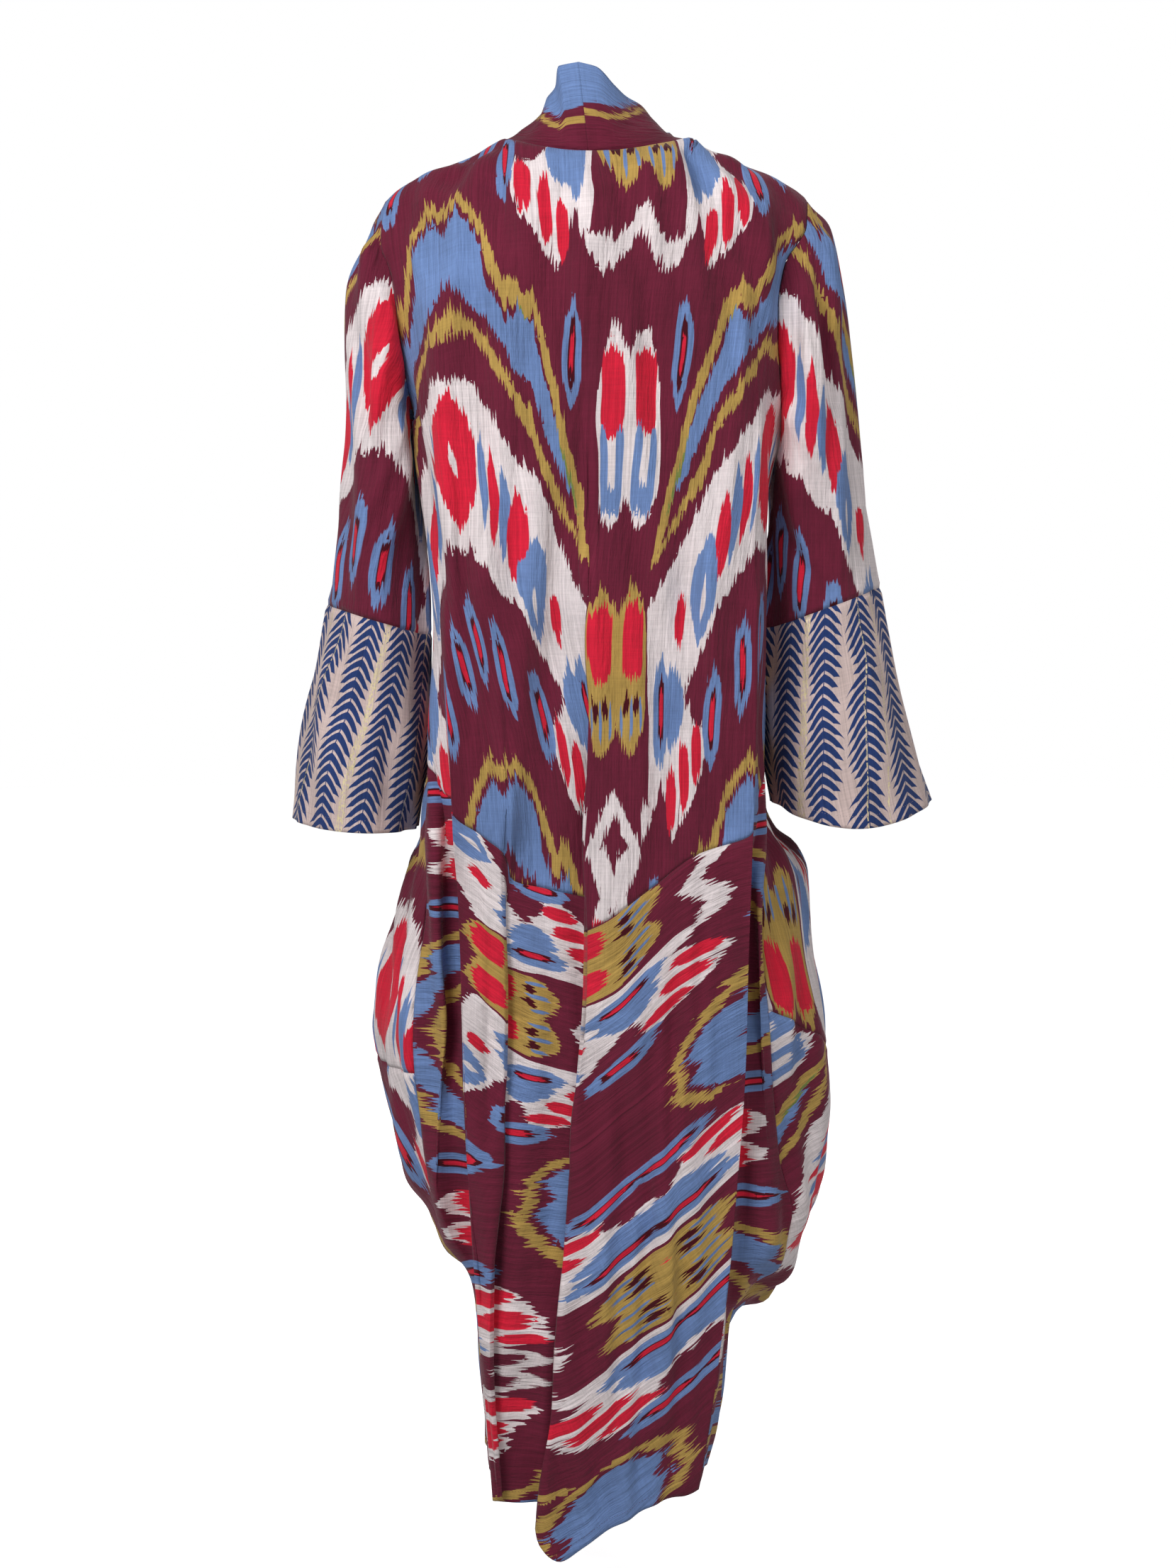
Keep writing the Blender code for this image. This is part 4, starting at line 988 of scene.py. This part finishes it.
def stitches(panel, kind, points, facing):
    # each stitch is a narrow ridge of four faces with a sharp end on either side
    values = stitchValues
    path, away = hemPath(points, facing, values["inset"][kind])
    if kind in closedKinds:
        path, away = np.concatenate([path, path[:1]]), np.concatenate([away, away[:1]])
    total = travelled(path)

    def at(place, table):
        return np.array([np.interp(place, total, table[:, key]) for key in range(3)])

    corners, faces = [], []
    for middle in np.arange(values["spacing"], total[-1] - values["spacing"], values["spacing"]):
        ends = [at(middle + way * values["length"] / 2, path) for way in (-1, 1)]
        normal = unit(at(middle, away))
        beside = np.cross(unit(ends[1] - ends[0]), normal) * values["halfWidth"]
        centre, low = (ends[0] + ends[1]) / 2, normal * values["sunk"]
        start = len(corners)
        corners.extend([ends[0] - low, ends[1] - low, centre + normal * values["height"], centre + beside,
                        centre - beside])
        faces.extend([(start, start + 3, start + 2), (start, start + 2, start + 4),
                      (start + 1, start + 2, start + 3), (start + 1, start + 4, start + 2)])
    mesh = bpy.data.meshes.new("hem_stitches_" + panel)
    mesh.from_pydata([corner.tolist() for corner in corners], [], faces)
    mesh.materials.append(threads[kind])
    piece = addObject("hem_stitches_" + panel, mesh)
    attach(piece, "root")
    slotOf(kind)
    return [piece]


# shader nodes

def bothWays(operation):
    # a sum with the field first, and the same with the field second
    return (lambda field, other: field.maths(operation, field, other),
            lambda field, other: field.maths(operation, other, field))


class Field:
    # a number or colour that varies over the cloth, with ordinary sums on it
    def __init__(self, tree, socket):
        self.tree = tree
        self.socket = socket

    def node(self, kind, settings, values, output=0):
        made = self.tree.nodes.new(kind)
        for key, value in settings.items():
            setattr(made, key, value)
        for index, value in values.items():
            if isinstance(value, Field):
                self.tree.links.new(value.socket, made.inputs[index])
            else:
                made.inputs[index].default_value = value
        return Field(self.tree, made.outputs[output])

    def maths(self, operation, *values):
        return self.node("ShaderNodeMath", {"operation": operation}, dict(enumerate(values)))

    __add__, __radd__ = bothWays("ADD")
    __sub__, __rsub__ = bothWays("SUBTRACT")
    __mul__, __rmul__ = bothWays("MULTIPLY")
    __truediv__, __rtruediv__ = bothWays("DIVIDE")

    def __pow__(self, other):
        return self.maths("POWER", self, other)

    def __abs__(self):
        return self.maths("ABSOLUTE", self)

    def floor(self):
        return self.maths("FLOOR", self)

    def mirrored(self, length):
        return self.maths("PINGPONG", self, length)

    def wrapped(self, length):
        return self.maths("WRAP", self, length, 0.0)

    def larger(self, other):
        return self.maths("MAXIMUM", self, other)

    def clamped(self):
        return self.node("ShaderNodeClamp", {}, {0: self})

    def beside(self, other):
        # a vector of this field and another
        return self.node("ShaderNodeCombineXYZ", {}, {0: self, 1: other})

    def drawn(self, other):
        # a random number for each pair of values
        return self.node("ShaderNodeTexWhiteNoise", {"noise_dimensions": "2D"}, {0: self.beside(other)})

    def noise(self, other, detail=1.0, roughness=0.5):
        values = {0: self.beside(other), 2: 1.0, 3: detail, 4: roughness}
        return self.node("ShaderNodeTexNoise", {"noise_dimensions": "2D"}, values)

    def masking(self, colour, below):
        # a colour laid over another where this field is 1
        return self.node("ShaderNodeMix", {"data_type": "RGBA"}, {0: self, 6: below, 7: colour}, 2)

    def feeds(self, shader, name):
        self.tree.links.new(self.socket, shader.inputs[name])


def paint(code):
    # linear colour of a hex code
    parts = [int(code[start:start + 2], 16) / 255 for start in (0, 2, 4)]
    parts = [part / 12.92 if part <= 0.04045 else ((part + 0.055) / 1.055) ** 2.4 for part in parts]
    return (*parts, 1.0)


def principled(name, values):
    made = bpy.data.materials.new(name)
    made.use_nodes = True
    shader = made.node_tree.nodes["Principled BSDF"]
    for key, value in values.items():
        shader.inputs[key].default_value = value
    return made, shader


clothValues = {
    "shine": {"Specular IOR Level": 0.18, "Sheen Weight": 0.08},
    # crushed cotton: size across and along, detail and roughness of the puckers, then the thicker threads
    "puckers": (0.13, 0.032, 3.0, 0.55),
    "threads": (1.3, 0.03, 1.0, 0.5),
    "threadShare": 0.22,
    "depth": 0.0026,
    # uneven dye in soft clouds, and thicker threads along and across: size, detail, roughness, strength
    "tones": [(0.018, 0.014, 3.0, 0.6, 0.50), (0.5, 0.009, 2.0, 0.6, 0.70), (0.03, 0.55, 2.0, 0.6, 0.26)],
}


def clothMaterial(name, roughness):
    made, shader = principled(name, {"Roughness": roughness, **clothValues["shine"]})
    uv = Field(made.node_tree, None).node("ShaderNodeUVMap", {"uv_map": "cloth"}, {})
    return made, shader, *(uv.node("ShaderNodeSeparateXYZ", {}, {0: uv}, axis) for axis in (0, 1))


def finished(shader, u, v, colour, strength):
    # the colour unevenly dyed, and the cloth's relief
    relief = []
    for key in ("puckers", "threads"):
        across, along, detail, roughness = clothValues[key]
        relief.append((u * across).noise(v * along, detail, roughness))
    height = relief[0] + relief[1] * clothValues["threadShare"]
    bump = u.node("ShaderNodeBump", {}, {0: strength, 1: clothValues["depth"], 3: height})
    bump.feeds(shader, "Normal")
    tone = 1.0
    for across, along, detail, roughness, share in clothValues["tones"]:
        tone = tone + ((u * across).noise(v * along, detail, roughness) - 0.5) * share
    u.node("ShaderNodeHueSaturation", {}, {2: tone, 4: colour}).feeds(shader, "Base Color")


def teeth(u, v, share=1.0):
    # thread-wide spikes of uneven length, drawn anew every so often along the warp
    jag = 0.0
    for width, height, step, salt in ikatValues["teeth"]:
        place = u / (width * share) + salt
        column = place.floor()
        draw = column.drawn((v / step + salt).floor())
        jag = draw * (1.0 - abs((place - column) * 2.0 - 1.0)) * height + jag
    return jag


def curve(position, points, width, height):
    # value read from a table of (place, value), straight between its points, both as shares
    reader = position.node("ShaderNodeFloatCurve", {}, {0: 1.0, 1: position})
    mapping = reader.socket.node.mapping
    track = mapping.curves[0].points
    spots = [(place / width, value / height) for place, value in sorted(points)]
    track[0].location, track[1].location = spots[0], spots[-1]
    for spot in spots[1:-1]:
        track.new(*spot)
    for point in track:
        point.handle_type = "VECTOR"
    mapping.update()
    return reader


# the ikat print: one half repeat, in millimetres, p across from the mirror line and v along the warp

ikatValues = {
    "maroon": "6B1C34",
    "gold": "B99750",
    "blue": "6F8ABD",
    "white": "E9DDDE",
    "red": "D91E3A",
    "oxblood": "480012",
    "olive": "7F8C4A",
    "roughness": 0.88,
    "period": 570.0,
    "half": 190.0,
    "tall": 700.0,
    # width of a motif's soft edge, and how far a band is drawn in from its outline
    "soft": 0.7,
    "drawnIn": 1.5,
    # slow wandering across the warp and along it: size across and along, detail, reach
    "drift": (0.011, 0.009, 1.0, 12.0),
    "slip": (0.03, 0.006, 2.0, 14.0),
    # width, length, distance along the warp and start of each size of tooth
    "teeth": [(9.0, 9.0, 61.0, 3.1), (3.4, 15.0, 43.0, 7.7), (1.1, 5.0, 29.0, 1.3)],
    # a tooth's mean share of its greatest height, and the small motifs' share of the teeth
    "teethMean": 0.25,
    "shapeJag": 0.95,
    "crinkle": 1.0,
    "bands": [
        # colour, top line and bottom line as (p, v) points
        ("white",
         [(0, 52), (10, 66), (22, 86), (32, 88), (42, 84), (50, 76), (57, 60), (190, 60)],
         [(0, 83), (10, 98), (22, 118), (32, 124), (42, 112), (50, 92), (56, 62), (58, 40), (190, 40)]),
        ("blue",
         [(0, 367), (47, 367), (58, 325), (73, 278), (88, 230), (96, 202), (108, 155), (120, 164),
         (126, 169), (134, 147), (145, 125), (150, 88), (166, 64), (175, 52), (190, 72)],
         [(0, 347), (46, 347), (48, 366), (58, 343), (72, 320), (86, 286), (98, 259), (107, 228),
         (123, 214), (130, 192), (141, 183), (151, 164), (164, 155), (190, 127)]),
        ("gold",
         [(0, 410), (37, 410), (45, 343), (56, 306), (66, 269), (76, 230), (90, 180), (99, 147),
         (114, 122), (126, 128), (134, 102), (146, 72), (150, 58), (171, 30), (190, 38)],
         [(0, 390), (36, 390), (38, 416), (45, 393), (55, 352), (66, 310), (76, 266), (90, 214), (99, 177),
         (114, 152), (126, 158), (134, 132), (146, 102), (150, 80), (171, 48), (190, 54)]),
        ("gold",
         [(0, 418), (36, 418), (41, 399), (57, 368), (71, 342), (85, 312), (98, 283), (107, 253),
         (123, 230), (135, 208), (150, 183), (163, 169), (190, 153)],
         [(0, 398), (35, 398), (37, 416), (56, 382), (71, 360), (84, 343), (95, 322), (105, 281),
         (120, 256), (135, 230), (150, 203), (163, 186), (190, 180)]),
        ("white",
         [(0, 457), (33, 457), (53, 427), (69, 393), (84, 362), (94, 343), (101, 325), (118, 306),
         (131, 286), (146, 264), (155, 247), (170, 226), (183, 220), (190, 230)],
         [(0, 437), (34, 437), (36, 480), (45, 652), (57, 624), (65, 650), (77, 690), (84, 676), (86, 549),
         (105, 508), (120, 477), (125, 454), (143, 435), (155, 418), (173, 399), (190, 396)]),
        ("white",
         [(0, 588), (84, 588), (86, 546), (100, 562), (110, 572), (117, 577), (124, 585), (190, 585)],
         [(0, 568), (83, 568), (85, 674), (95, 663), (113, 622), (118, 590), (120, 560), (190, 560)]),
        ("white",
         [(0, 205), (5, 190), (13, 174), (18, 172), (24, 190), (31, 215), (35, 240), (36, 340),
         (190, 340)],
         [(0, 345), (6, 360), (13, 372), (20, 373), (27, 365), (33, 352), (35, 340), (38, 320),
         (190, 320)]),
        ("gold",
         [(0, 463), (6, 450), (14, 436), (20, 431), (26, 440), (31, 458), (35, 475), (36, 565),
         (190, 565)],
         [(0, 575), (5, 586), (12, 600), (20, 605), (27, 597), (33, 580), (35, 565), (38, 545),
         (190, 545)]),
    ],
    "shapes": [
        # colour, p, v, half width, half height, roundness
        ("white", 51, 11, 8, 75, 6), ("blue", 72, -12, 17, 45, 2), ("red", 106, 28, 6.5, 32, 4),
        ("red", 90, 53, 7, 36, 4), ("red", 73, 79, 7, 32, 4), ("blue", 57, 201, 11.5, 54, 3),
        ("oxblood", 57, 201, 4.6, 36, 5), ("red", 57, 201, 2.6, 20, 6), ("red", 17.5, 237, 12.5, 44, 8),
        ("blue", 26.5, 315, 4.6, 46, 8), ("blue", 9.5, 315, 4.6, 46, 8), ("blue", 18, 345, 9, 14, 8),
        ("red", 18.5, 489, 12.5, 40, 6), ("oxblood", 24.5, 553, 4.5, 12, 2),
        ("oxblood", 12.7, 553, 4.5, 12, 2), ("blue", 18.5, 568, 2.2, 22, 4),
        ("blue", 30, 566, 2.0, 18, 4), ("blue", 6.5, 566, 2.0, 18, 4), ("red", 190, 307, 27, 71, 2.2),
        ("white", 190, 308, 4.5, 14, 2), ("blue", 158, 328, 5, 54, 2), ("red", 147, 345, 6.5, 51, 2),
        ("blue", 135, 361, 7.5, 50, 2), ("red", 122, 384, 10, 48, 2), ("blue", 105.5, 433, 16, 58, 2),
        ("white", 105.5, 446, 3, 22, 2), ("red", 80, 468, 7, 32, 2), ("blue", 58, 560, 11.5, 58, 3),
        ("oxblood", 58, 560, 4.2, 36, 5), ("red", 58, 560, 3.0, 23, 6), ("blue", 190, 485, 10.5, 50, 3),
        ("oxblood", 190, 485, 4.5, 30, 5), ("red", 190, 485, 3.4, 20, 6), ("blue", 161, 514, 11, 49, 3),
        ("oxblood", 161, 514, 4.5, 30, 5), ("red", 161, 514, 3.4, 20, 6), ("blue", 125, 563, 12, 50, 3),
        ("oxblood", 125, 563, 4.5, 31, 5), ("red", 125, 563, 3.4, 21, 6),
    ],
    # motifs of the back alone, at the neck and at the lower centre
    "backShapes": [("blue", 58, 8, 6.5, 38, 6), ("maroon", 0, 662, 37, 62, 8),
                   ("white", 0, 700, 37, 66, 1.3), ("maroon", 0, 690, 23, 32, 0.6)],
}


def wander(u, v, across, along, detail, reach):
    return ((u * across).noise(v * along, detail) - 0.5) * reach


def ikatMaterial(name, motifs):
    values = ikatValues
    made, shader, uMetres, vMetres = clothMaterial(name, values["roughness"])
    u, v = uMetres * perMetre, vMetres * perMetre
    place = u + wander(u, v, *values["drift"])
    across = place.mirrored(values["half"])
    share = across / values["half"]
    level = v + wander(u, v, *values["slip"])
    jag = teeth(u, v) - sum(entry[1] for entry in values["teeth"]) * values["teethMean"]
    rough, gentle = level + jag, level + jag * values["shapeJag"]
    colour = paint(values["maroon"])
    for dye, *edges in values["bands"]:
        upper, lower = (curve(share, edge, values["half"], values["tall"]) * values["tall"]
                        for edge in edges)
        depth = ((gentle if dye == "blue" else rough) - upper).wrapped(values["period"])
        mask = ((lower - upper - depth - values["drawnIn"]) / values["soft"]).clamped()
        cloth = paint(values[dye])
        if dye == "blue":
            blueMask = mask
        elif dye == "gold":
            cloth = blueMask.masking(paint(values["olive"]), cloth)
        colour = mask.masking(cloth, colour)
    ovals = [(entry, (gentle - entry[2]).mirrored(values["period"] / 2), across)
             for entry in values["shapes"]]
    ovals += [(entry, abs(rough - entry[2]), abs(place)) for entry in motifs]
    for (dye, centre, middle, halfWide, halfTall, roundness), away, along in ovals:
        swell = 1.0 - (away / halfTall) ** roundness
        mask = ((swell * halfWide - abs(along - centre)) / values["soft"]).clamped()
        colour = mask.masking(paint(values[dye]), colour)
    finished(shader, u, v, colour, values["crinkle"])
    return made


cuffValues = {
    "ground": "D3BDB8",
    "navy": "22396F",
    "lurex": "E2D3A6",
    "roughness": 0.8,
    "crinkle": 0.35,
    "repeats": 2,
    "repeatWidth": 237.0,
    "wobble": (0.012, 0.012, 1.0, 9.0),
    "lean": {"right": -0.16, "left": 0.16},
    # midrib and widest reach of each leaf column, and how far each column is set down by its place
    "leaves": [(22.0, 23.0), (69.5, 24.0), (117.0, 22.5), (164.0, 24.0), (211.5, 22.0)],
    "setDown": 0.37,
    # distance between arms; how far an arm falls for each millimetre out, at the midrib and growing
    "chevron": 11.2,
    "droop": (0.55, 0.029),
    # a leaf's least share of its reach; its swelling along the cuff: size, strength, start, chance
    "least": 0.45,
    "swell": (0.018, 2.2, 0.27, 0.05),
    # an arm's share of the distance, how blunt its end is, and the softness of its edges
    "armShare": 0.74,
    "blunt": 2.4,
    "armSoft": 0.8,
    "midrib": 0.8,
    "midribSoft": 0.5,
    # middle and half width of each line of metal thread, the size of its breaks, their contrast and start
    "lurexLines": [(46.0, 1.3), (71.0, 1.1), (140.0, 4.2), (214.0, 1.2)],
    "lurexSoft": 0.4,
    "breaks": (0.9, 2.2, 2.4, 0.9),
    # what the metal thread adds to the metal look and takes from the roughness
    "metal": 0.5,
    "smooth": 0.45,
}


def cuffMaterial(side):
    values = cuffValues
    made, shader, turn, vMetres = clothMaterial("cuff_cotton_" + side, values["roughness"])
    v, width = vMetres * perMetre, values["repeatWidth"]
    u = turn * (values["repeats"] * width)
    place = u + wander(u, v, *values["wobble"]) + v * values["lean"][side]
    colour = paint(values["ground"])

    def gapFrom(centre):
        return abs((place - centre + width / 2).wrapped(width) - width / 2)

    near, growth = values["droop"]
    size, strength, begin, chance = values["swell"]
    least, armShare = values["least"], values["armShare"]
    for centre, reach in values["leaves"]:
        gap = gapFrom(centre)
        slant = (v - gap * (gap * growth + near)) / values["chevron"] + centre * values["setDown"]
        index = slant.floor()
        draw = u.node("ShaderNodeTexWhiteNoise", {"noise_dimensions": "1D"}, {1: index + centre})
        full = (chance * draw + (v * size).noise(centre) * strength - begin).clamped()
        limit = (least + full * (1.0 - least)) * reach
        thick = ((1.0 - gap / limit) * values["blunt"]).clamped() * armShare
        arm = ((thick - (slant - index)) * (values["chevron"] / values["armSoft"])).clamped()
        rib = ((values["midrib"] - gap) / values["midribSoft"]).clamped()
        colour = (arm * (limit - gap).clamped()).larger(rib).masking(paint(values["navy"]), colour)
    wide, tall, contrast, start = values["breaks"]
    broken = ((u / wide).floor().drawn((v / tall).floor()) * contrast - start).clamped()
    shine = None
    for centre, reach in values["lurexLines"]:
        mask = ((reach - gapFrom(centre)) / values["lurexSoft"]).clamped() * broken
        colour = mask.masking(paint(values["lurex"]), colour)
        shine = shine.larger(mask) if shine else mask
    finished(shader, u, v, colour, values["crinkle"])
    (shine * values["metal"]).feeds(shader, "Metallic")
    (values["roughness"] - shine * values["smooth"]).feeds(shader, "Roughness")
    return made


collarPrintValues = {
    # place along the collar in metres from the centre back, share of its width where the blue ends, where
    # the gold band starts and where it ends
    "right": [(0.0, 0.53, 0.49, 0.41), (0.018, 0.54, 0.44, 0.37), (0.034, 0.62, 0.52, 0.44),
              (0.053, 0.80, 0.69, 0.59), (0.066, 0.99, 0.87, 0.77), (0.080, 1.0, 1.0, 0.97),
              (0.11, 1.0, 1.0, 1.0), (0.15, 0.95, 1.0, 1.0), (0.19, 0.70, 0.58, 0.48),
              (0.30, 0.62, 0.50, 0.38), (0.42, 0.80, 0.60, 0.52), (0.60, 0.70, 0.45, 0.36)],
    "left": [(0.0, 0.50, 0.39, 0.30), (0.014, 0.47, 0.39, 0.30), (0.027, 0.48, 0.38, 0.29),
             (0.047, 0.68, 0.56, 0.43), (0.060, 0.86, 0.76, 0.64), (0.073, 1.0, 0.97, 0.86),
             (0.085, 1.0, 1.0, 1.0), (0.15, 0.95, 1.0, 1.0), (0.19, 0.70, 0.58, 0.46),
             (0.30, 0.60, 0.50, 0.36), (0.42, 0.82, 0.60, 0.50), (0.60, 0.70, 0.45, 0.36)],
    # length and width of the printed cloth in millimetres, and the softness of its edges there
    "length": 600.0,
    "width": 95.0,
    "soft": 0.8,
    "teethShare": 0.8,
    "teethMean": 6.0,
}


def collarMaterial(side):
    values = collarPrintValues
    made, shader, along, share = clothMaterial("collar_cotton_" + side, ikatValues["roughness"])
    warp, weft = along * perMetre, share * values["width"]
    ragged = warp + teeth(weft, warp, values["teethShare"]) - values["teethMean"]
    place = (ragged / values["length"]).clamped()
    blueEdge, goldStart, goldEnd = (
        curve(place, [(entry[0] * perMetre, entry[key]) for entry in values[side]], values["length"], 1.0)
        for key in (1, 2, 3))
    sharp = values["width"] / values["soft"]
    blue = ((share - blueEdge) * sharp).clamped()
    gold = ((share - goldEnd) * sharp).clamped() * ((goldStart - share) * sharp).clamped()
    colour = blue.masking(paint(ikatValues["blue"]), paint(ikatValues["maroon"]))
    finished(shader, weft, warp, gold.masking(paint(ikatValues["gold"]), colour), ikatValues["crinkle"])
    return made


ikat = ikatMaterial("ikat_cotton", [])
ikatBack = ikatMaterial("ikat_cotton_back", ikatValues["backShapes"])
threads = {}
for kind, code in stitchValues["thread"].items():
    colours = {"Base Color": paint(code), "Roughness": stitchValues["roughness"]}
    threads[kind] = principled("thread_" + kind, colours)[0]
print("materials made")


# the pieces

upper, lower = slice(0, veeIndex + 1), slice(veeIndex, None)
clothPiece("upper_back", "back", shown["back"][:, upper], backPrint(upper), ikatBack)
skirts = {"right": (slice(0, skirtSeam + 1), rightSkirtPrint),
          "left": (slice(skirtSeam, None), leftSkirtPrint)}
hems = {side: stitches("back_" + side, "skirt", shown["back"][part, lower], facings["back"][part, lower])
        for side, (part, skirtPrint) in skirts.items()}
for side, (part, skirtPrint) in skirts.items():
    clothPiece("lower_back_" + side, "back_skirt_" + side, shown["back"][part, lower],
               skirtPrint(back[part, lower]), ikat)
upper, lower = slice(0, frontSeamIndex + 1), slice(frontSeamIndex, None)
for side in signs:
    front, sleeve, cuff, collar = (kind + "_" + side for kind in ("front", "sleeve", "cuff", "collar"))
    clothPiece("upper_front_" + side, front, shown[front][:, upper], frontPrint(side, upper), ikat)
    hem = stitches(front, "skirt", shown[front][:, lower], facings[front][:, lower])
    clothPiece("lower_front_" + side, "front_skirt_" + side, shown[front][:, lower],
               frontSkirtPrint(side, surfaces[front][:, lower]), ikat)
    clothPiece("sleeve_cloth_" + side, sleeve, shown[sleeve], sleevePrint(side, surfaces[sleeve]), ikat)
    hem = stitches(cuff, "cuff", shown[cuff], facings[cuff])
    clothPiece("cuff_cloth_" + side, cuff, shown[cuff], cuffPrint(surfaces[cuff]), cuffMaterial(side))
    clothPiece("collar_cloth_" + side, collar, shown[collar], collarPrint(shown[collar]),
               collarMaterial(side))
print("pieces made")


# room, lights and camera

roomValues = {
    "floorHeight": -1.475,
    "floorHalf": 12.0,
    "floor": {"Base Color": (0.90, 0.90, 0.90, 1.0), "Roughness": 0.9,
              "Emission Color": (1.0, 1.0, 1.0, 1.0), "Emission Strength": 0.74},
    "backdropSize": 11.0,
    "backdropSteps": (48, 24),
    "backdropGlow": 1.0,
    "worldStrength": 0.30,
    "worldColour": (1.0, 1.0, 1.0, 1.0),
}
half, height = roomValues["floorHalf"], roomValues["floorHeight"]
floorMesh = bpy.data.meshes.new("floor")
floorMesh.from_pydata([(-half, -half, height), (half, -half, height), (half, half, height),
                       (-half, half, height)], [], [(0, 1, 2, 3)])
floorMesh.materials.append(principled("floor_paint", roomValues["floor"])[0])
floor = addObject("floor", floorMesh)
# the bright floor lights nothing, so that the cloth grows darker towards its hem
floor.visible_diffuse = False

world = bpy.data.worlds.new("soft_white")
world.use_nodes = True
sky = world.node_tree.nodes["Background"]
sky.inputs["Color"].default_value = roomValues["worldColour"]
sky.inputs["Strength"].default_value = roomValues["worldStrength"]
bpy.context.scene.world = world

# a far white wall all round, seen by the camera only, so that it lights nothing
across, down = roomValues["backdropSteps"]
bpy.ops.mesh.primitive_uv_sphere_add(radius=roomValues["backdropSize"], segments=across, ring_count=down)
backdrop = bpy.context.object
backdrop.name = "backdrop"
glow = bpy.data.materials.new("backdrop_glow")
glow.use_nodes = True
emitter = glow.node_tree.nodes.new("ShaderNodeEmission")
emitter.inputs["Strength"].default_value = roomValues["backdropGlow"]
glow.node_tree.links.new(emitter.outputs[0], glow.node_tree.nodes["Material Output"].inputs["Surface"])
backdrop.data.materials.append(glow)
backdrop.visible_diffuse = False
backdrop.visible_glossy = False
backdrop.visible_transmission = False
backdrop.visible_shadow = False

lightValues = {
    # place, size, power: a broad soft light behind the camera and two fill lights
    "key": ((-1.3, -2.0, 0.95), 1.1, 49.0),
    "fill": ((1.9, -2.2, 0.7), 1.2, 16.0),
    "front": ((1.2, 3.0, 1.6), 2.0, 40.0),
}
lightTarget = (0.0, 0.0, -0.6)
cameraValues = {
    "place": (-0.009, -2.9, -0.45),
    "target": (-0.009, 0.0, -0.666),
    "lens": 63.52,
    "sensor": 36.0,
}


def aimed(name, data, place, target):
    thing = addObject(name, data)
    thing.location = place
    thing.rotation_euler = (Vector(target) - thing.location).to_track_quat("-Z", "Y").to_euler()
    return thing


for name, (place, size, power) in lightValues.items():
    lamp = bpy.data.lights.new(name, "AREA")
    lamp.shape = "SQUARE"
    lamp.size = size
    lamp.energy = power
    aimed(name, lamp, place, lightTarget)

lens = bpy.data.cameras.new("camera")
lens.lens = cameraValues["lens"]
lens.sensor_width = cameraValues["sensor"]
bpy.context.scene.camera = aimed("camera", lens, cameraValues["place"], cameraValues["target"])
bpy.context.scene.view_settings.view_transform = "Standard"
